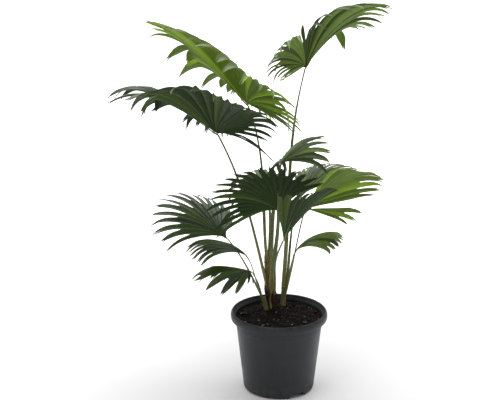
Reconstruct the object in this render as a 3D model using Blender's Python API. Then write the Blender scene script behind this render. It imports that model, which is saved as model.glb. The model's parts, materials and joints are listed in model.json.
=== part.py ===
"""A young footstool palm in its nursery pot.

Three stems stand in one pot: the main plant and a seedling on either side. Each frond is a
stalk and a fan blade. A blade's ribs leave the stalk's end like spokes, run a little way along
the leaf's middle line, and arch over under their own weight. Between neighbouring ribs the
blade is pleated and whole, and beyond the split it parts into pointed segments. The pot's wall
with its rolled rim and the base with its drain channels are two solids that meet at a seam.
Lengths are metres, angles are degrees, and +Z is up. The pot stands on z = 0.
"""
import math
from dataclasses import dataclass

import bpy
import numpy as np

CLEARANCE = 0.0003

# Pot
POT_SIDES = 40
POT_HEIGHT = 0.203
FOOT_RADIUS = 0.083
BASE_RADIUS = 0.088
FOOT_BEVEL = 0.005
NECK_RADIUS = 0.1080
NECK_HEIGHT = 0.182
RIM_RADIUS = 0.1205
RIM_MIDDLE = 0.194
LIP_RADIUS = 0.1160
WALL = 0.0022
FLOOR = 0.003
SEAM_HEIGHT = 0.0136

# Drain channels across the pot's bottom edge
CHANNEL_HEADINGS = (-59, 121)
CHANNEL_WIDTH = 0.052
CHANNEL_TOP_WIDTH = 0.034
CHANNEL_HEIGHT = 0.011
CHANNEL_DEPTH = 0.034
CHANNEL_STEPS = 6

SOIL_LEVEL = 0.191

# Blades: how ribs run and bend, with shares of a rib's length where no unit is named
BLADE_STEPS = 24
FULL_SPREAD = 150
DROOP_WHEN_UPRIGHT = 0.35
HANG_OUTWARD = 0.35
BEND_LIMIT = 0.97
COSTA_END = 0.4
TIP_POWER = 1.3
PLEAT = 0.35
DEEPER_BEHIND = 0.4
HUB_ROW = 0.09
FREE_ROW = 0.5
FREE_WIDTH = 0.66
THICKNESS_RATIO = 0.0105
STUB_LENGTH = 0.012
COSTA_LENGTH = 0.16

# Stalks
STALK_SIDES = 6
STALK_STEPS = 12
STALK_TAPER_POWER = 1.5
LEAVE_REACH = 0.4
ARRIVE_REACH = 0.35


@dataclass
class Stem:
    """A stem: its place on the potting mix, its lean, its height and its radii going up."""
    name: str
    place: tuple
    lean: tuple
    height: float
    radii: tuple
    sides: int


STEMS = {
    "main": Stem("trunk", (-0.0180, 0.056), (-0.009, 0.001), 0.142,
                 (0.0150, 0.0118, 0.0102, 0.0094, 0.0080, 0.0045), 14),
    "left": Stem("stem_left", (-0.0300, 0.0350), (-0.007, -0.002), 0.034,
                 (0.0054, 0.0050, 0.0046, 0.0036), 10),
    "right": Stem("stem_right", (0.0105, 0.065), (0.002, 0.000), 0.050,
                  (0.0064, 0.0060, 0.0056, 0.0044), 10),
}


@dataclass
class Frond:
    """A frond: where its blade's hub is, how the blade is set there, and how it arches.

    The hub is a place in the plant, and the foot is an offset from the stem's axis at a height
    above the potting mix. heading, pitch and roll set the leaf's middle line and the way that
    its upper side faces. Ribs are named by their angle from that line, from low to high.
    """
    name: str
    stem: str
    hub: tuple
    heading: float
    pitch: float
    radius: float
    foot: tuple = (0.0, 0.0, 0.03)
    # stalk: its radii at the foot and at the blade, and the slopes that it leaves and arrives at
    stalk: tuple = (0.0035, 0.0024)
    depart: float = 80
    arrive: float = 70
    # fan: its ribs, and how far they rise out of a flat plane at even steps over the full spread
    roll: float = 0
    low: float = -150
    high: float = 150
    count: int = 16
    rises: tuple = (5, 10, 0, 10, 5)
    costa: float = 0.3
    cleft: tuple = (999, 999)
    # length of the side ribs, as shares of the radius
    taper: float = 0.35
    skew: float = 0
    shortest: float = 0.3
    # arching: how far a rib bends by its tip, at the same steps, and how late
    droops: tuple = (60, 60, 60, 60, 60)
    power: float = 1.6
    together: float = 0
    # free segments: where they part, and how much further their tips bend
    split: float = 0.6
    tip: float = 10


FRONDS = (
    Frond("top_right", "right", (0.0647, 0.160, 0.7838), 345, 54, 0.280, foot=(-0.001, 0.004, 0.040),
          stalk=(0.0040, 0.0026), depart=80, arrive=76, roll=-10, low=-145, high=145,
          rises=(17, 36, 27, 20, 8, 9, 19, 23, 18), droops=(39, 51, 66, 113, 99, 77, 25, -10, -10),
          taper=0.66, skew=0.22, power=1.9, split=0.66),
    Frond("top_left", "main", (-0.0770, 0.040, 0.7156), 184, 50, 0.328, foot=(-0.004, 0.000, 0.125),
          stalk=(0.0040, 0.0028), depart=84, arrive=70, roll=12, rises=(20, 16, 4, 0, 10, 18, 15),
          droops=(12, 30, 55, 38, 62, 20, 10), taper=0.56, power=2.6, split=0.67),
    Frond("upper_left", "main", (-0.1495, 0.000, 0.6534), 206, 38, 0.318, foot=(-0.007, -0.001, 0.055),
          stalk=(0.0046, 0.0030), depart=76, arrive=62, roll=8, rises=(20, 25, 15, 0, 16, 28, 12),
          droops=(20, 70, 80, 78, 50, 35, 15), taper=0.8, shortest=0.38, power=2.6, split=0.67),
    Frond("upper_middle", "main", (0.0020, -0.010, 0.5838), 25, 42, 0.135, foot=(0.005, 0.000, 0.125),
          stalk=(0.0046, 0.0030), depart=84, arrive=78, low=-60, high=170, rises=(-8, -15, 0, -15, -8),
          droops=(90, 60, 50, 60, 90), taper=0),
    Frond("back_right", "right", (0.0529, 0.100, 0.4691), 15, 38, 0.180, foot=(0.005, 0.003, 0.030),
          stalk=(0.0030, 0.0022), depart=78, arrive=70, low=-45, high=80, count=14,
          rises=(8, 15, 0, 15, 8), droops=(55,) * 5, taper=0.1),
    Frond("right", "right", (0.0631, 0.050, 0.4495), 326, 37, 0.248, foot=(0.004, -0.003, 0.026),
          stalk=(0.0030, 0.0022), depart=76, arrive=74, roll=-47, low=-32, high=48, count=12,
          rises=(-15, -11, -10, -13, -16, -9, 3, -10, -23, -20, -9, 3, 14),
          droops=(62, 70, 72, 70, 57, 37, 43, -9, 6, 18, 25, 34, 44), taper=0.83, skew=-1.5,
          power=2.06, cleft=(22, 30), split=0.7),
    Frond("centre", "main", (-0.0046, -0.050, 0.4766), 266, 68, 0.165, foot=(0.002, -0.009, 0.050),
          stalk=(0.0050, 0.0034), depart=76, arrive=80, low=-124, high=48, rises=(5, 10, 0, 10, 5),
          droops=(20, 42, 50, 42, 20), taper=0, skew=-0.22, tip=0, split=0.62),
    Frond("front", "main", (0.0055, -0.145, 0.4340), 300, 62, 0.185, foot=(0.008, -0.006, 0.030),
          stalk=(0.0028, 0.0020), depart=62, arrive=56, low=-24, high=50, count=9,
          rises=(15, 29, 0, 29, 15), droops=(30,) * 5, split=0.75),
    Frond("middle_left", "left", (-0.1295, 0.062, 0.3710), 175, 33, 0.210, foot=(-0.002, 0.005, 0.022),
          stalk=(0.0030, 0.0021), depart=62, arrive=50, roll=-22, low=-110, high=45, count=16,
          rises=(0,) * 5, droops=(40,) * 5, taper=1.0, skew=-0.3, costa=0.6),
    Frond("low_left", "left", (-0.0680, -0.010, 0.3085), 192, 15, 0.158, foot=(-0.003, -0.004, 0.016),
          stalk=(0.0026, 0.0019), depart=60, arrive=58, low=-95, high=115, count=10,
          rises=(-8, -15, 0, -15, -8), droops=(45, 45, 45, 37, 32), taper=2.1, costa=0.7),
    Frond("inner_left", "left", (-0.0715, 0.026, 0.3210), 192, 82, 0.190, foot=(-0.001, 0.000, 0.028),
          stalk=(0.0024, 0.0018), depart=62, arrive=70, low=-24, high=34, count=6,
          rises=(0,) * 5, droops=(100,) * 5, power=0.5, split=0.7, together=1, tip=40),
    Frond("low_right", "right", (0.0332, 0.030, 0.3271), 334, 88, 0.159, foot=(0.001, -0.006, 0.018),
          stalk=(0.0026, 0.0019), depart=70, arrive=78, roll=12, low=-34, high=34, count=5,
          rises=(0,) * 5, droops=(104,) * 5, power=0.66, split=0.84, together=1, tip=21),
    Frond("back", "main", (-0.0258, 0.192, 0.4530), 104, 35, 0.130, foot=(-0.001, 0.008, 0.080),
          stalk=(0.0036, 0.0024), depart=74, arrive=60, low=-105, high=105, count=12,
          rises=(3, 5, 0, 5, 3), taper=0.2),
)


def unit(vectors):
    """The same vectors at length 1."""
    return vectors / np.maximum(np.linalg.norm(vectors, axis=-1, keepdims=True), 1e-12)


def direction(heading, pitch):
    """A unit vector from its compass heading, counted from +X, and its pitch above level."""
    h, p = math.radians(heading), math.radians(pitch)
    return np.array([math.cos(h) * math.cos(p), math.sin(h) * math.cos(p), math.sin(p)])


def turned(vectors, axes, angles):
    """Vectors turned about unit axes by angles in radians."""
    c, s = np.cos(angles), np.sin(angles)
    c, s = (np.expand_dims(c, -1), np.expand_dims(s, -1)) if np.ndim(angles) else (c, s)
    along = np.sum(axes * vectors, axis=-1, keepdims=True)
    return vectors * c + np.cross(axes, vectors) * s + axes * along * (1 - c)


def at_stations(values, degrees):
    """Eases between values that are given at equal steps from -150 to 150 degrees."""
    last = len(values) - 1
    place = np.clip((np.asarray(degrees, float) / FULL_SPREAD + 1) / 2 * last, 0, last)
    low = np.minimum(place.astype(int), last - 1)
    ease = (place - low) ** 2 * (3 - 2 * (place - low))
    values = np.array(values, float)
    return values[low] * (1 - ease) + values[low + 1] * ease


class Fan:
    """The ribs of one blade, as paths from its hub."""

    def __init__(self, frond):
        self.frond = frond
        self.hub = np.array(frond.hub)
        self.x = direction(frond.heading, frond.pitch)
        up = np.array([0.0, 0.0, 1.0])
        self.z = turned(unit(up - (up @ self.x) * self.x), self.x, math.radians(frond.roll))
        self.y = np.cross(self.z, self.x)
        self.down = unit(-up + HANG_OUTWARD * direction(frond.heading, 0))

    def start(self, degrees):
        """The ribs' first directions, for their angles from the leaf's middle line."""
        angles, rises = np.radians(degrees), np.radians(at_stations(self.frond.rises, degrees))
        flat = np.cos(angles)[:, None] * self.x + np.sin(angles)[:, None] * self.y
        return flat * np.cos(rises)[:, None] + np.sin(rises)[:, None] * self.z

    def lengths(self, degrees):
        """The ribs' lengths, for their angles from the leaf's middle line."""
        frond, reach = self.frond, np.asarray(degrees, float) / FULL_SPREAD
        return frond.radius * np.maximum(frond.shortest, 1 - frond.taper * reach ** 2 + frond.skew * reach)

    def ribs(self, degrees):
        """Points along the ribs at these angles: ribs by BLADE_STEPS + 1 by 3."""
        frond, degrees = self.frond, np.asarray(degrees, float)
        steps = (self.lengths(degrees) / BLADE_STEPS)[:, None]
        level = np.maximum(frond.together, np.sqrt(np.maximum(0.0, 1 - self.start(degrees)[:, 2] ** 2)))
        droop = at_stations(frond.droops, degrees) * (DROOP_WHEN_UPRIGHT + (1 - DROOP_WHEN_UPRIGHT) * level)
        points = [np.tile(self.hub, (len(degrees), 1))]
        for step in range(BLADE_STEPS):
            t = (step + 0.5) / BLADE_STEPS
            free = max(0.0, (t - frond.split) / (1 - frond.split))
            bend = np.radians(droop * t ** frond.power + frond.tip * free ** TIP_POWER)
            spread = 1 - frond.costa * max(0.0, 1 - t / COSTA_END) ** 2
            heading = self.start(degrees * spread)
            axis = np.cross(heading, self.down)
            furthest = np.arctan2(np.linalg.norm(axis, axis=1), heading @ self.down)
            axis = unit(unit(axis) * (1 - frond.together) + self.y * frond.together)
            way = turned(heading, axis, np.minimum(bend, BEND_LIMIT * furthest))
            points.append(points[-1] + way * steps)
        return np.swapaxes(np.array(points), 0, 1)


def sample(path, t):
    """The point at fraction t of an evenly stepped path."""
    place = t * (len(path) - 1)
    low = min(int(place), len(path) - 2)
    return path[low] + (path[low + 1] - path[low]) * (place - low)


def fan_sheet(frond):
    """The middle surface of a blade: its points, the way each faces, and its faces."""
    fan = Fan(frond)
    lines = 2 * frond.count + 1
    angles = np.linspace(frond.low, frond.high, lines)
    ribs = fan.ribs(angles)
    across = unit(np.gradient(ribs, axis=0))
    along = np.gradient(ribs, axis=1)
    facing = unit(np.cross(along, across))
    gap = np.linalg.norm(np.gradient(ribs, axis=0), axis=2)

    points, normals, faces = [fan.hub], [fan.z], []
    splits = frond.split * (1 - DEEPER_BEHIND * (angles / FULL_SPREAD) ** 2)
    rows = (HUB_ROW, 0.5, 1)
    for share in rows:
        for line, t in enumerate(splits * share):
            normal = unit(sample(facing[line], t))
            lift = PLEAT * sample(gap[line], t) * (1 if line % 2 == 0 else -1)
            points.append(sample(ribs[line], t) + normal * lift)
            normals.append(normal)
    faces += [(0, 1 + line, 2 + line) for line in range(lines - 1)]
    present = [line for line in range(1, lines, 2)
               if not frond.cleft[0] < angles[line] < frond.cleft[1]]
    for row in range(len(rows) - 1):
        first = 1 + row * lines
        for line in present:
            for a in (first + line - 1, first + line):
                faces.append((a, a + lines, a + lines + 1, a + 1))

    last = 1 + (len(rows) - 1) * lines
    for line in present:
        inner = (last + line - 1, last + line, last + line + 1)
        half = sample(gap[line], splits[line])
        t = splits[line] + FREE_ROW * (1 - splits[line])
        normal, side = unit(sample(facing[line], t)), unit(sample(across[line], t))
        centre = sample(ribs[line], t)
        width = FREE_WIDTH * half
        outer = tuple(range(len(points), len(points) + 3))
        for sideways, lift in ((-1, PLEAT), (0, -PLEAT), (1, PLEAT)):
            points.append(centre + side * width * sideways + normal * width * lift)
            normals.append(normal)
        tip = len(points)
        points.append(ribs[line][-1])
        normals.append(facing[line][-1])
        for k in (0, 1):
            faces.append((inner[k], outer[k], outer[k + 1], inner[k + 1]))
            faces.append((outer[k], tip, outer[k + 1]))
    return np.array(points), np.array(normals), faces


def thick_sheet(points, normals, faces, thickness):
    """A closed shell: both sides of a surface and a wall along each open edge."""
    count = len(points)
    sides = np.vstack([points + normals * thickness / 2, points - normals * thickness / 2])
    closed = list(faces) + [tuple(count + corner for corner in reversed(face)) for face in faces]
    edges = [(a, b) for face in faces for a, b in zip(face, face[1:] + face[:1])]
    known = set(edges)
    closed += [(b, a, a + count, b + count) for a, b in edges if (b, a) not in known]
    return sides, closed


def tube(path, radii, sides, level=False):
    """A closed tube round a path, with flat ends square to it, or level ones."""
    path = np.array(path)
    along = np.array([(0.0, 0.0, 1.0)] * len(path)) if level else unit(np.gradient(path, axis=0))
    side = unit(np.cross(along[0], (0.0, 1.0, 0.0) if abs(along[0][1]) < 0.7 else (1.0, 0.0, 0.0)))
    points, faces = [], []
    for place, way, radius in zip(path, along, radii):
        side = unit(side - (side @ way) * way)
        other = np.cross(way, side)
        for k in range(sides):
            turn = 2 * math.pi * k / sides
            points.append(place + radius * (math.cos(turn) * side + math.sin(turn) * other))
    for ring in range(len(path) - 1):
        for k in range(sides):
            a, b = ring * sides + k, ring * sides + (k + 1) % sides
            faces.append((a, b, b + sides, a + sides))
    faces.append(tuple(reversed(range(sides))))
    faces.append(tuple(range((len(path) - 1) * sides, len(path) * sides)))
    return np.array(points), faces


def turned_solid(profile, sides, ring=False):
    """A solid of revolution about Z, from (radius, height) points, on the axis at both ends or a ring."""
    points, faces, rings = [], [], []
    for radius, height in profile:
        start = len(points)
        if radius == 0:
            points.append((0.0, 0.0, height))
            rings.append([start] * sides)
            continue
        for k in range(sides):
            turn = 2 * math.pi * k / sides
            points.append((radius * math.cos(turn), radius * math.sin(turn), height))
        rings.append(list(range(start, start + sides)))
    after = rings[1:] + rings[:1] if ring else rings[1:]
    for lower, upper in zip(rings, after):
        for k in range(sides):
            corners = (lower[k], lower[(k + 1) % sides], upper[(k + 1) % sides], upper[k])
            faces.append(tuple(dict.fromkeys(corners)))
    return np.array(points), faces


def add_object(name, points, faces, material):
    """A mesh object, shaded smooth except at its sharp edges."""
    mesh = bpy.data.meshes.new(name)
    mesh.from_pydata([tuple(float(c) for c in point) for point in points], [], faces)
    mesh.shade_smooth()
    mesh.set_sharp_from_angle(angle=math.radians(40))
    if material is not None:
        mesh.materials.append(material)
    made = bpy.data.objects.new(name, mesh)
    bpy.context.scene.collection.objects.link(made)
    return made


def as_guide(thing):
    """Marks an object as a cutter that isn't a piece of the plant."""
    thing.hide_render = True
    thing.display_type = "WIRE"
    return thing


def cut(thing, cutter):
    """Cuts one object by another, with a modifier that stays."""
    modifier = thing.modifiers.new("cut", "BOOLEAN")
    modifier.operation = "DIFFERENCE"
    modifier.object = cutter


def join(thing, extra):
    """Fuses extra into thing and removes it."""
    group = bpy.data.collections.new("joined")
    bpy.context.scene.collection.children.link(group)
    group.objects.link(extra)
    modifier = thing.modifiers.new("join", "BOOLEAN")
    modifier.operation = "UNION"
    modifier.operand_type = "COLLECTION"
    modifier.collection = group
    bpy.context.view_layer.update()
    bpy.context.view_layer.objects.active = thing
    bpy.ops.object.modifier_apply(modifier="join")
    bpy.data.objects.remove(extra, do_unlink=True)
    bpy.data.collections.remove(group)


def material(name, colour, roughness):
    """A Principled material of one colour."""
    made = bpy.data.materials.new(name)
    made.use_nodes = True
    shader = made.node_tree.nodes["Principled BSDF"]
    shader.inputs["Base Color"].default_value = (*colour, 1)
    shader.inputs["Roughness"].default_value = roughness
    shader.inputs["Metallic"].default_value = 0
    return made


def wall_radius(height):
    """The pot's outer radius below the neck."""
    return BASE_RADIUS + (NECK_RADIUS - BASE_RADIUS) * (height - FOOT_BEVEL) / (NECK_HEIGHT - FOOT_BEVEL)


def channel_bar(heading, width, top_width, height, inner, outer, bottom):
    """A bar of trapezoid section along a radius, wide side down, with a rounded outer end."""
    out, side = direction(heading, 0), direction(heading + 90, 0)
    points, faces = [], []
    for share in np.linspace(-1, 1, CHANNEL_STEPS + 1):
        for across, up in ((share * width / 2, bottom), (share * top_width / 2, height)):
            for reach in (inner, math.sqrt(outer ** 2 - across ** 2)):
                points.append(out * reach + side * across + (0, 0, up))
    for step in range(CHANNEL_STEPS):
        low, high = 4 * step, 4 * step + 4
        for a, b in ((0, 1), (1, 3), (3, 2), (2, 0)):
            faces.append((low + a, high + a, high + b, low + b))
    last = 4 * CHANNEL_STEPS
    faces += [(0, 1, 3, 2), (last + 2, last + 3, last + 1, last)]
    return np.array(points), faces


def add_pot(plastic):
    """The thin wall with its rolled rim, and the base with the drain channels across its edge."""
    rim_drop = RIM_MIDDLE - NECK_HEIGHT
    wall = [
        (wall_radius(SEAM_HEIGHT), SEAM_HEIGHT), (NECK_RADIUS, NECK_HEIGHT),
        (RIM_RADIUS - 0.8 * WALL, NECK_HEIGHT + 0.001),
        (RIM_RADIUS - 0.3 * WALL, NECK_HEIGHT + 0.3 * rim_drop), (RIM_RADIUS, RIM_MIDDLE - 0.002),
        (RIM_RADIUS - 0.001, RIM_MIDDLE + 0.004),
        (RIM_RADIUS - 0.0030, POT_HEIGHT - 0.0015), (LIP_RADIUS, POT_HEIGHT),
        (LIP_RADIUS - 0.0022, POT_HEIGHT - 0.0012), (LIP_RADIUS - 0.0035, POT_HEIGHT - 0.005),
        (NECK_RADIUS + 0.0005 - WALL, RIM_MIDDLE - 0.003), (NECK_RADIUS - WALL, NECK_HEIGHT),
        (wall_radius(SEAM_HEIGHT) - WALL, SEAM_HEIGHT),
    ]
    add_object("pot", *turned_solid(wall, POT_SIDES, ring=True), plastic)
    top = SEAM_HEIGHT - CLEARANCE
    tray = [
        (0, 0), (FOOT_RADIUS, 0), (BASE_RADIUS, FOOT_BEVEL), (wall_radius(top), top),
        (wall_radius(top) - WALL, top), (BASE_RADIUS - WALL, FOOT_BEVEL + FLOOR), (FOOT_RADIUS, FLOOR),
        (0, FLOOR),
    ]
    base = add_object("pot_base", *turned_solid(tray, POT_SIDES), plastic)
    inner = BASE_RADIUS - CHANNEL_DEPTH
    for heading in CHANNEL_HEADINGS:
        cover = channel_bar(heading, CHANNEL_WIDTH + 2 * WALL, CHANNEL_TOP_WIDTH + 2 * WALL,
                            CHANNEL_HEIGHT + WALL, inner - WALL, BASE_RADIUS - 0.5 * WALL, 0.5 * FLOOR)
        join(base, add_object("cover", *cover, None))
    for number, heading in enumerate(CHANNEL_HEADINGS):
        hollow = channel_bar(heading, CHANNEL_WIDTH, CHANNEL_TOP_WIDTH, CHANNEL_HEIGHT,
                             inner, BASE_RADIUS + 0.02, -0.01)
        cut(base, as_guide(add_object(f"channel_{number}", *hollow, None)))


def add_potting_mix(earth):
    """The potting mix, which fills the pot up to a level top."""
    inset = WALL + CLEARANCE
    profile = [
        (0, FLOOR + CLEARANCE), (FOOT_RADIUS - 0.002, FLOOR + CLEARANCE),
        (wall_radius(0.02) - inset - 0.0006, 0.02), (NECK_RADIUS - inset - 0.0004, NECK_HEIGHT),
        (NECK_RADIUS - inset, SOIL_LEVEL), (0, SOIL_LEVEL),
    ]
    mix = add_object("potting_mix", *turned_solid(profile, POT_SIDES), earth)
    grow = WALL + CLEARANCE
    for number, heading in enumerate(CHANNEL_HEADINGS):
        room = channel_bar(heading, CHANNEL_WIDTH + 2.5 * grow, CHANNEL_TOP_WIDTH + 2.5 * grow,
                           CHANNEL_HEIGHT + grow, BASE_RADIUS - CHANNEL_DEPTH - grow, NECK_RADIUS, 0)
        cut(mix, as_guide(add_object(f"channel_room_{number}", *room, None)))


def stem_path(stem, heights):
    """The stem's middle line at heights above the potting mix."""
    shares = np.array(heights) / stem.height
    return [(stem.place[0] + stem.lean[0] * share, stem.place[1] + stem.lean[1] * share,
             SOIL_LEVEL + CLEARANCE + stem.height * share) for share in shares]


def add_stem(stem, bark):
    """A tapering stem with a root flare, and the guide that cuts the stalks' feet clear of it."""
    heights = np.linspace(0, stem.height, len(stem.radii))
    path = stem_path(stem, heights)
    add_object(stem.name, *tube(path, stem.radii, stem.sides, level=True), bark)
    wider = [radius + CLEARANCE * 1.2 for radius in stem.radii]
    path[-1] = (path[-1][0], path[-1][1], path[-1][2] + CLEARANCE * 1.2)
    return as_guide(add_object(stem.name + "_room", *tube(path, wider, stem.sides, level=True), None))


def stalk_path(frond):
    """A stalk's middle line, from inside its stem to just short of its blade's stub."""
    stem = STEMS[frond.stem]
    x, y, z = stem_path(stem, [frond.foot[2]])[0]
    foot = np.array([x + frond.foot[0], y + frond.foot[1], z])
    end_way = direction(frond.heading, frond.arrive)
    end = np.array(frond.hub) - end_way * (STUB_LENGTH + CLEARANCE)
    reach = np.linalg.norm(end - foot)
    level = math.degrees(math.atan2(end[1] - foot[1], end[0] - foot[0]))
    first = foot + direction(level, frond.depart) * reach * LEAVE_REACH
    second = end - end_way * reach * ARRIVE_REACH
    t = np.linspace(0, 1, STALK_STEPS + 1)[:, None]
    return ((1 - t) ** 3 * foot + 3 * (1 - t) ** 2 * t * first
            + 3 * (1 - t) * t * t * second + t ** 3 * end)


def add_stalk(frond, room, green):
    """The stalk of a frond, from its stem to its blade."""
    path = stalk_path(frond)
    wide, narrow = frond.stalk
    radii = narrow + (wide - narrow) * np.linspace(1, 0, len(path)) ** STALK_TAPER_POWER
    stalk = add_object("stalk_" + frond.name, *tube(path, radii, STALK_SIDES), green)
    cut(stalk, room)


def add_blade(frond, green):
    """The blade of a frond, with the stub and rib that its stalk meets."""
    fan = Fan(frond)
    points, normals, faces = fan_sheet(frond)
    thickness = THICKNESS_RATIO * max(fan.lengths((frond.low, 0, frond.high)))
    blade = add_object("frond_" + frond.name, *thick_sheet(points, normals, faces, thickness), green)
    way = direction(frond.heading, frond.arrive)
    middle = fan.ribs((0,))[0]
    ends = [fan.hub - way * STUB_LENGTH, fan.hub - way * STUB_LENGTH * 0.4]
    forward = [sample(middle, share * COSTA_LENGTH) for share in (0.25, 0.6, 1.0)]
    radius = frond.stalk[1]
    radii = (radius, radius, radius * 0.9, radius * 0.7, radius * 0.3)
    join(blade, add_object("costa", *tube(ends + forward, radii, STALK_SIDES), None))


def main():
    for thing in list(bpy.data.objects):
        bpy.data.objects.remove(thing, do_unlink=True)
    add_pot(material("pot plastic", (0.030, 0.034, 0.038), 0.45))
    add_potting_mix(material("potting mix", (0.020, 0.012, 0.009), 0.95))
    bark = material("stem fibre", (0.20, 0.10, 0.05), 0.8)
    rooms = {key: add_stem(stem, bark) for key, stem in STEMS.items()}
    stalk_green = material("stalk", (0.15, 0.22, 0.05), 0.5)
    for number, frond in enumerate(FRONDS):
        shade = 0.8 + 0.4 * ((number * 5) % 7) / 7
        leaf_green = material("blade " + frond.name, (0.045 * shade, 0.13 * shade, 0.025 * shade), 0.5)
        add_stalk(frond, rooms[frond.stem], stalk_green)
        add_blade(frond, leaf_green)


main()
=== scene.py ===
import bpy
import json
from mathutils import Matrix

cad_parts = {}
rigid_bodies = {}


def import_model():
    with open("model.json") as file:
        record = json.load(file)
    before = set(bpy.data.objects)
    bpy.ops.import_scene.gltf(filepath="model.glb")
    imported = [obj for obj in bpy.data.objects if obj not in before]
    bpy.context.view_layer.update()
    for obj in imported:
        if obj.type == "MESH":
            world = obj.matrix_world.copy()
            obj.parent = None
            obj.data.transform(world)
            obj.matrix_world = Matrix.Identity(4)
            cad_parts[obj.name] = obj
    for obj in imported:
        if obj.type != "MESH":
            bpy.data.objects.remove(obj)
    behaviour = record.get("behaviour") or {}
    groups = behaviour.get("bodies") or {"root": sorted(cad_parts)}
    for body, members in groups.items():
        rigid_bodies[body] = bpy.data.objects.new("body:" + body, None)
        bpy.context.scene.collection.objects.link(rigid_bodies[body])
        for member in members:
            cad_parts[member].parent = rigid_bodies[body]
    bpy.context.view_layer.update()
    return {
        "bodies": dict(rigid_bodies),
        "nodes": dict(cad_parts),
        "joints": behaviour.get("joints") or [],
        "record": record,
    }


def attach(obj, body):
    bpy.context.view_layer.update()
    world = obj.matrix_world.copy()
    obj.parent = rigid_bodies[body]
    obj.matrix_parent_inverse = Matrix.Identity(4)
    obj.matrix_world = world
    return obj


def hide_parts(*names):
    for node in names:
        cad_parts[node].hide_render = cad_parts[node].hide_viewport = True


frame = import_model()

import json
import math
from collections import namedtuple

import bpy
from mathutils import Vector
import numpy as np

bl_info = {
    "name": "Young fan palm",
    "version": (1, 0, 0),
    "blender": (4, 5, 0),
    "location": "View3D > Sidebar > Fan palm",
    "description": "Builds a young fan palm in a nursery pot, piece by piece",
    "category": "Add Mesh",
}

# The pot and its filling, in metres.
POT_HEIGHT = 0.203
FOOT_RADIUS = 0.083
BASE_RADIUS = 0.088
FOOT_BEVEL = 0.005
NECK_RADIUS = 0.108
NECK_HEIGHT = 0.182
RIM_RADIUS = 0.1205
RIM_MIDDLE = 0.194
LIP_RADIUS = 0.116
WALL = 0.0022
FLOOR = 0.003
CHANNEL_HEADINGS = (-59, 121)
CHANNEL_WIDTH = 0.052
CHANNEL_TOP_WIDTH = 0.034
CHANNEL_HEIGHT = 0.011
CHANNEL_DEPTH = 0.034
SOIL_LEVEL = 0.191

# How a rib runs from its hub.
STEPS = 36
FULL_SPREAD = 150
DROOP_WHEN_UPRIGHT = 0.35
HANG_OUTWARD = 0.35
BEND_LIMIT = 0.97
COSTA_END = 0.4
TIP_POWER = 1.3

# How a stalk runs from below the potting mix to its hub, and the steps of the middle rib that its end
# follows under the blade.
STALK_DEPTH = 0.006
STUB_LENGTH = 0.012
LEAVE_REACH = 0.4
ARRIVE_REACH = 0.35
STALK_END_STEPS = (1, 2, 3, 4, 6, 8, 10, 12, 14)

# A stem's place and lean along X and Y, and its radii at even steps from the potting mix up.
Stem = namedtuple("Stem", "name place lean height radii")

STEMS = {
    "main": Stem("trunk", (-0.0180, 0.056), (-0.009, 0.001), 0.142,
                 (0.0150, 0.0118, 0.0102, 0.0094, 0.0080, 0.0045)),
    "left": Stem("stem_left", (-0.0300, 0.0350), (-0.007, -0.002), 0.034,
                 (0.0054, 0.0050, 0.0046, 0.0036)),
    "right": Stem("stem_right", (0.0105, 0.065), (0.002, 0.000), 0.050,
                  (0.0064, 0.0060, 0.0056, 0.0044)),
}

# A frond's angles are in degrees. rises and droops are given at even steps from -150 to 150 degrees round
# its fan. Each of strays is one segment that goes its own way: its angle, its droop, the share of the rib
# where it parts, and its length from there as a multiple of the rib's own.
Frond = namedtuple(
    "Frond", "name stem hub heading pitch radius foot stalk depart arrive roll low high count fine "
    "rises droops costa cleft taper skew shortest power together split tip tones strays",
    defaults=((0, 0, 0.03), (0.0035, 0.0024), 80, 70, 0, -150, 150, 16, 1.15, (5, 10, 0, 10, 5),
              (60, 60, 60, 60, 60), 0.3, (999, 999), 0.35, 0, 0.3, 1.6, 0, 0.6, 10, "mmmd", ()))

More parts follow.
